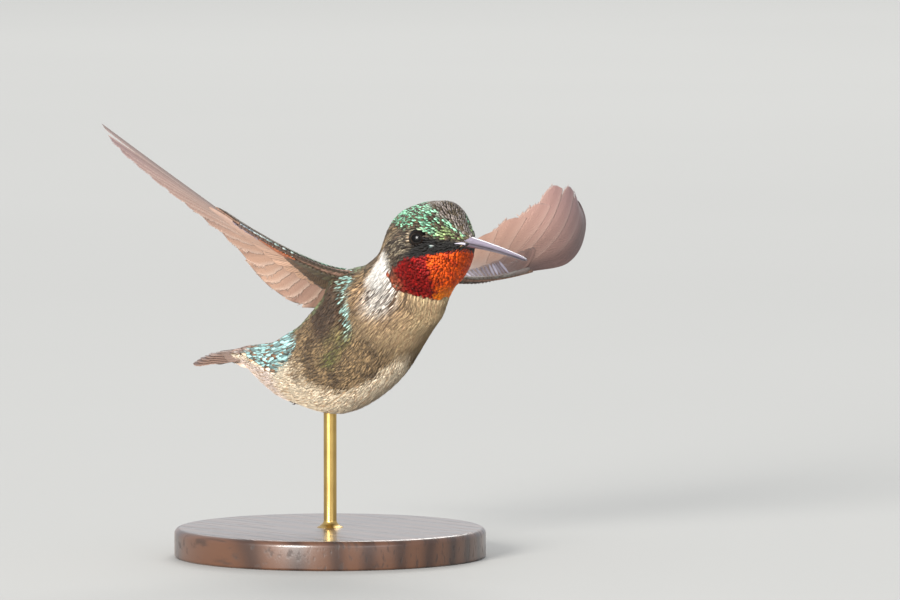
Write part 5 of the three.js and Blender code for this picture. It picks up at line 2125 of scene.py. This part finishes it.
@dataclass(frozen=True)
class Stand:
    """A round wooden base with a rounded rim, and a brass rod with a small foot."""

    radius: float = 24.0
    thick: float = 4.5
    edge: float = 0.9
    rod_radius: float = 1.0
    rod_top: float = 26.0
    foot_radius: float = 2.1
    foot_height: float = 1.1
    rings: int = 12

    def corner(self, radius: float, height: float, size: float, start: float) -> Array:
        """A quarter circle of the profile, about a centre size inside radius and height. It starts
        at 0 degrees for an upper corner and at -90 for a lower one."""
        angle = np.radians(start + np.linspace(0, 90, 10))
        centre = np.array([radius - size, height - size * (1 if start == 0 else -1)])
        return centre + size * beside(np.cos(angle), np.sin(angle))

    def build(self) -> list[Object]:
        """Base and rod."""
        low = self.corner(self.radius, 0.0, 0.4, -90)
        high = self.corner(self.radius, self.thick, self.edge, 0)
        rings = np.linspace(self.radius * 0.9, 0.05, self.rings)
        top = beside(rings, np.full(self.rings, self.thick))
        bottom = beside(rings[::-1], np.zeros(self.rings))
        base = lathe("stand_base_wood", np.concatenate([bottom, low, high, top]), 160)
        rise = np.linspace(0, 1, 14)
        foot = beside(self.rod_radius + (self.foot_radius - self.rod_radius) * (1 - rise) ** 2.2,
                      self.thick + self.foot_height * rise)
        shaft = beside(np.full(self.rings, self.rod_radius),
                       np.linspace(self.thick + self.foot_height + 0.5, self.rod_top, self.rings))
        deep, level = self.thick - 0.6, self.thick - 0.01
        sunk = np.array([[0.03, deep], [self.foot_radius, deep], [self.foot_radius, level]])
        end = np.array([[0.03, self.rod_top]])
        rod = lathe("stand_rod_brass", np.concatenate([sunk, foot, shaft, end]), 48)
        return [
            base.build(WoodFinish().build(), "stand_wood", ("stand_base",)),
            rod.build(BrassFinish().build(), "stand_metal", ("stand_rod",)),
        ]


@dataclass(frozen=True)
class Lamp:
    """A soft square light that looks at the bird."""

    name: str
    azimuth: float
    elevation: float
    distance: float
    size: float
    power: float
    tone: Triple

    def build(self, target: Vector) -> None:
        """Places the lamp on its bearing round the target."""
        light = bpy.data.lights.new(self.name, "AREA")
        light.energy = self.power
        light.size = self.size
        light.color = self.tone
        place = target + bearing(self.azimuth, self.elevation) * self.distance
        aim(add_object(self.name, light), place, target)


def aim(made: Object, place: Vector, target: Vector) -> None:
    """Puts a lamp or camera at a place, looking at the target."""
    made.location = place
    made.rotation_euler = (target - made.location).to_track_quat("-Z", "Y").to_euler()


def bearing(azimuth: float, elevation: float) -> Vector:
    """The unit vector from the bird toward a viewer at that azimuth and elevation in degrees."""
    a, e = math.radians(azimuth), math.radians(elevation)
    return Vector((math.sin(a) * math.cos(e), -math.cos(a) * math.cos(e), math.sin(e)))


@dataclass(frozen=True)
class Studio:
    """Floor, lights and camera."""

    azimuth: float = 48.0
    elevation: float = 4.0
    distance: float = 1.5
    target: Triple = (0.0, 0.0, 0.040)
    scale: float = 6500.0
    image: tuple[int, int] = (900, 600)
    target_pixel: Pair = (330.0, 297.2)
    sensor: float = 36.0
    floor_radius: float = 9.0

    def build(self) -> None:
        """Everything round the bird."""
        self.camera()
        self.floor()
        for lamp in (
            Lamp("key_light", 20, 14, 3, 1, 185, (1, 0.97, 0.93)),
            Lamp("fill_light", 80, 4, 3, 1.8, 26, (0.95, 0.98, 1)),
            Lamp("rim_light", 220, 40, 3, 1.4, 45, (1, 0.98, 0.95)),
        ):
            lamp.build(Vector(self.target))
        world = bpy.data.worlds.new("studio")
        bpy.context.scene.world = world
        world.use_nodes = True
        sky = world.node_tree.nodes["Background"].inputs
        sky["Color"].default_value = (0.92, 0.95, 1.0, 1.0)
        sky["Strength"].default_value = 0.75
        bpy.context.scene.view_settings.view_transform = "Standard"

    def camera(self) -> None:
        """A long lens whose picture has scale pixels to a metre at the target.

        The lens in millimetres is the sensor's width times the distance times the scale over the
        picture's width. The camera looks past the target so that this falls on its pixel.
        """
        back = bearing(self.azimuth, self.elevation)
        turn = math.radians(self.azimuth)
        right = Vector((math.cos(turn), math.sin(turn), 0.0))
        up = back.cross(right)
        data = bpy.data.cameras.new("camera")
        data.sensor_width = self.sensor
        data.lens = self.sensor * self.distance * self.scale / self.image[0]
        data.clip_start, data.clip_end = 0.05, 50.0
        camera = add_object("camera", data)
        aside = (self.image[0] / 2 - self.target_pixel[0]) / self.scale
        below = (self.image[1] / 2 - self.target_pixel[1]) / self.scale
        seen = Vector(self.target) + right * aside - up * below
        aim(camera, Vector(self.target) + back * self.distance, seen)
        bpy.context.scene.camera = camera

    def floor(self) -> None:
        """A level disc with no edge in view."""
        radius = np.array([self.floor_radius, 3.0, 0.8, 0.2, 0.001])[:, None] / MM
        points = (radius[:, :, None] * level_ring(64)).reshape(-1, 3) * MM
        mesh = bpy.data.meshes.new("floor")
        mesh.from_pydata(points.tolist(), [], ring_quads(5, 64)[:, ::-1].tolist())
        mesh.materials.append(FloorFinish().build())
        add_object("floor", mesh)


def main() -> None:
    """Builds the bird, its stand and the studio."""
    logging.basicConfig(level=logging.INFO, format="%(message)s")
    Studio().build()
    Skin().build()
    BODY_COAT.build()
    for side in Side:
        Eye(side).build()
        Leg(side).build()
    Bill().build()
    for side in Side:
        Wing(side).build()
    Tail().build()
    Stand().build()
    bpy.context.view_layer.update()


if __name__ == "__main__":
    main()
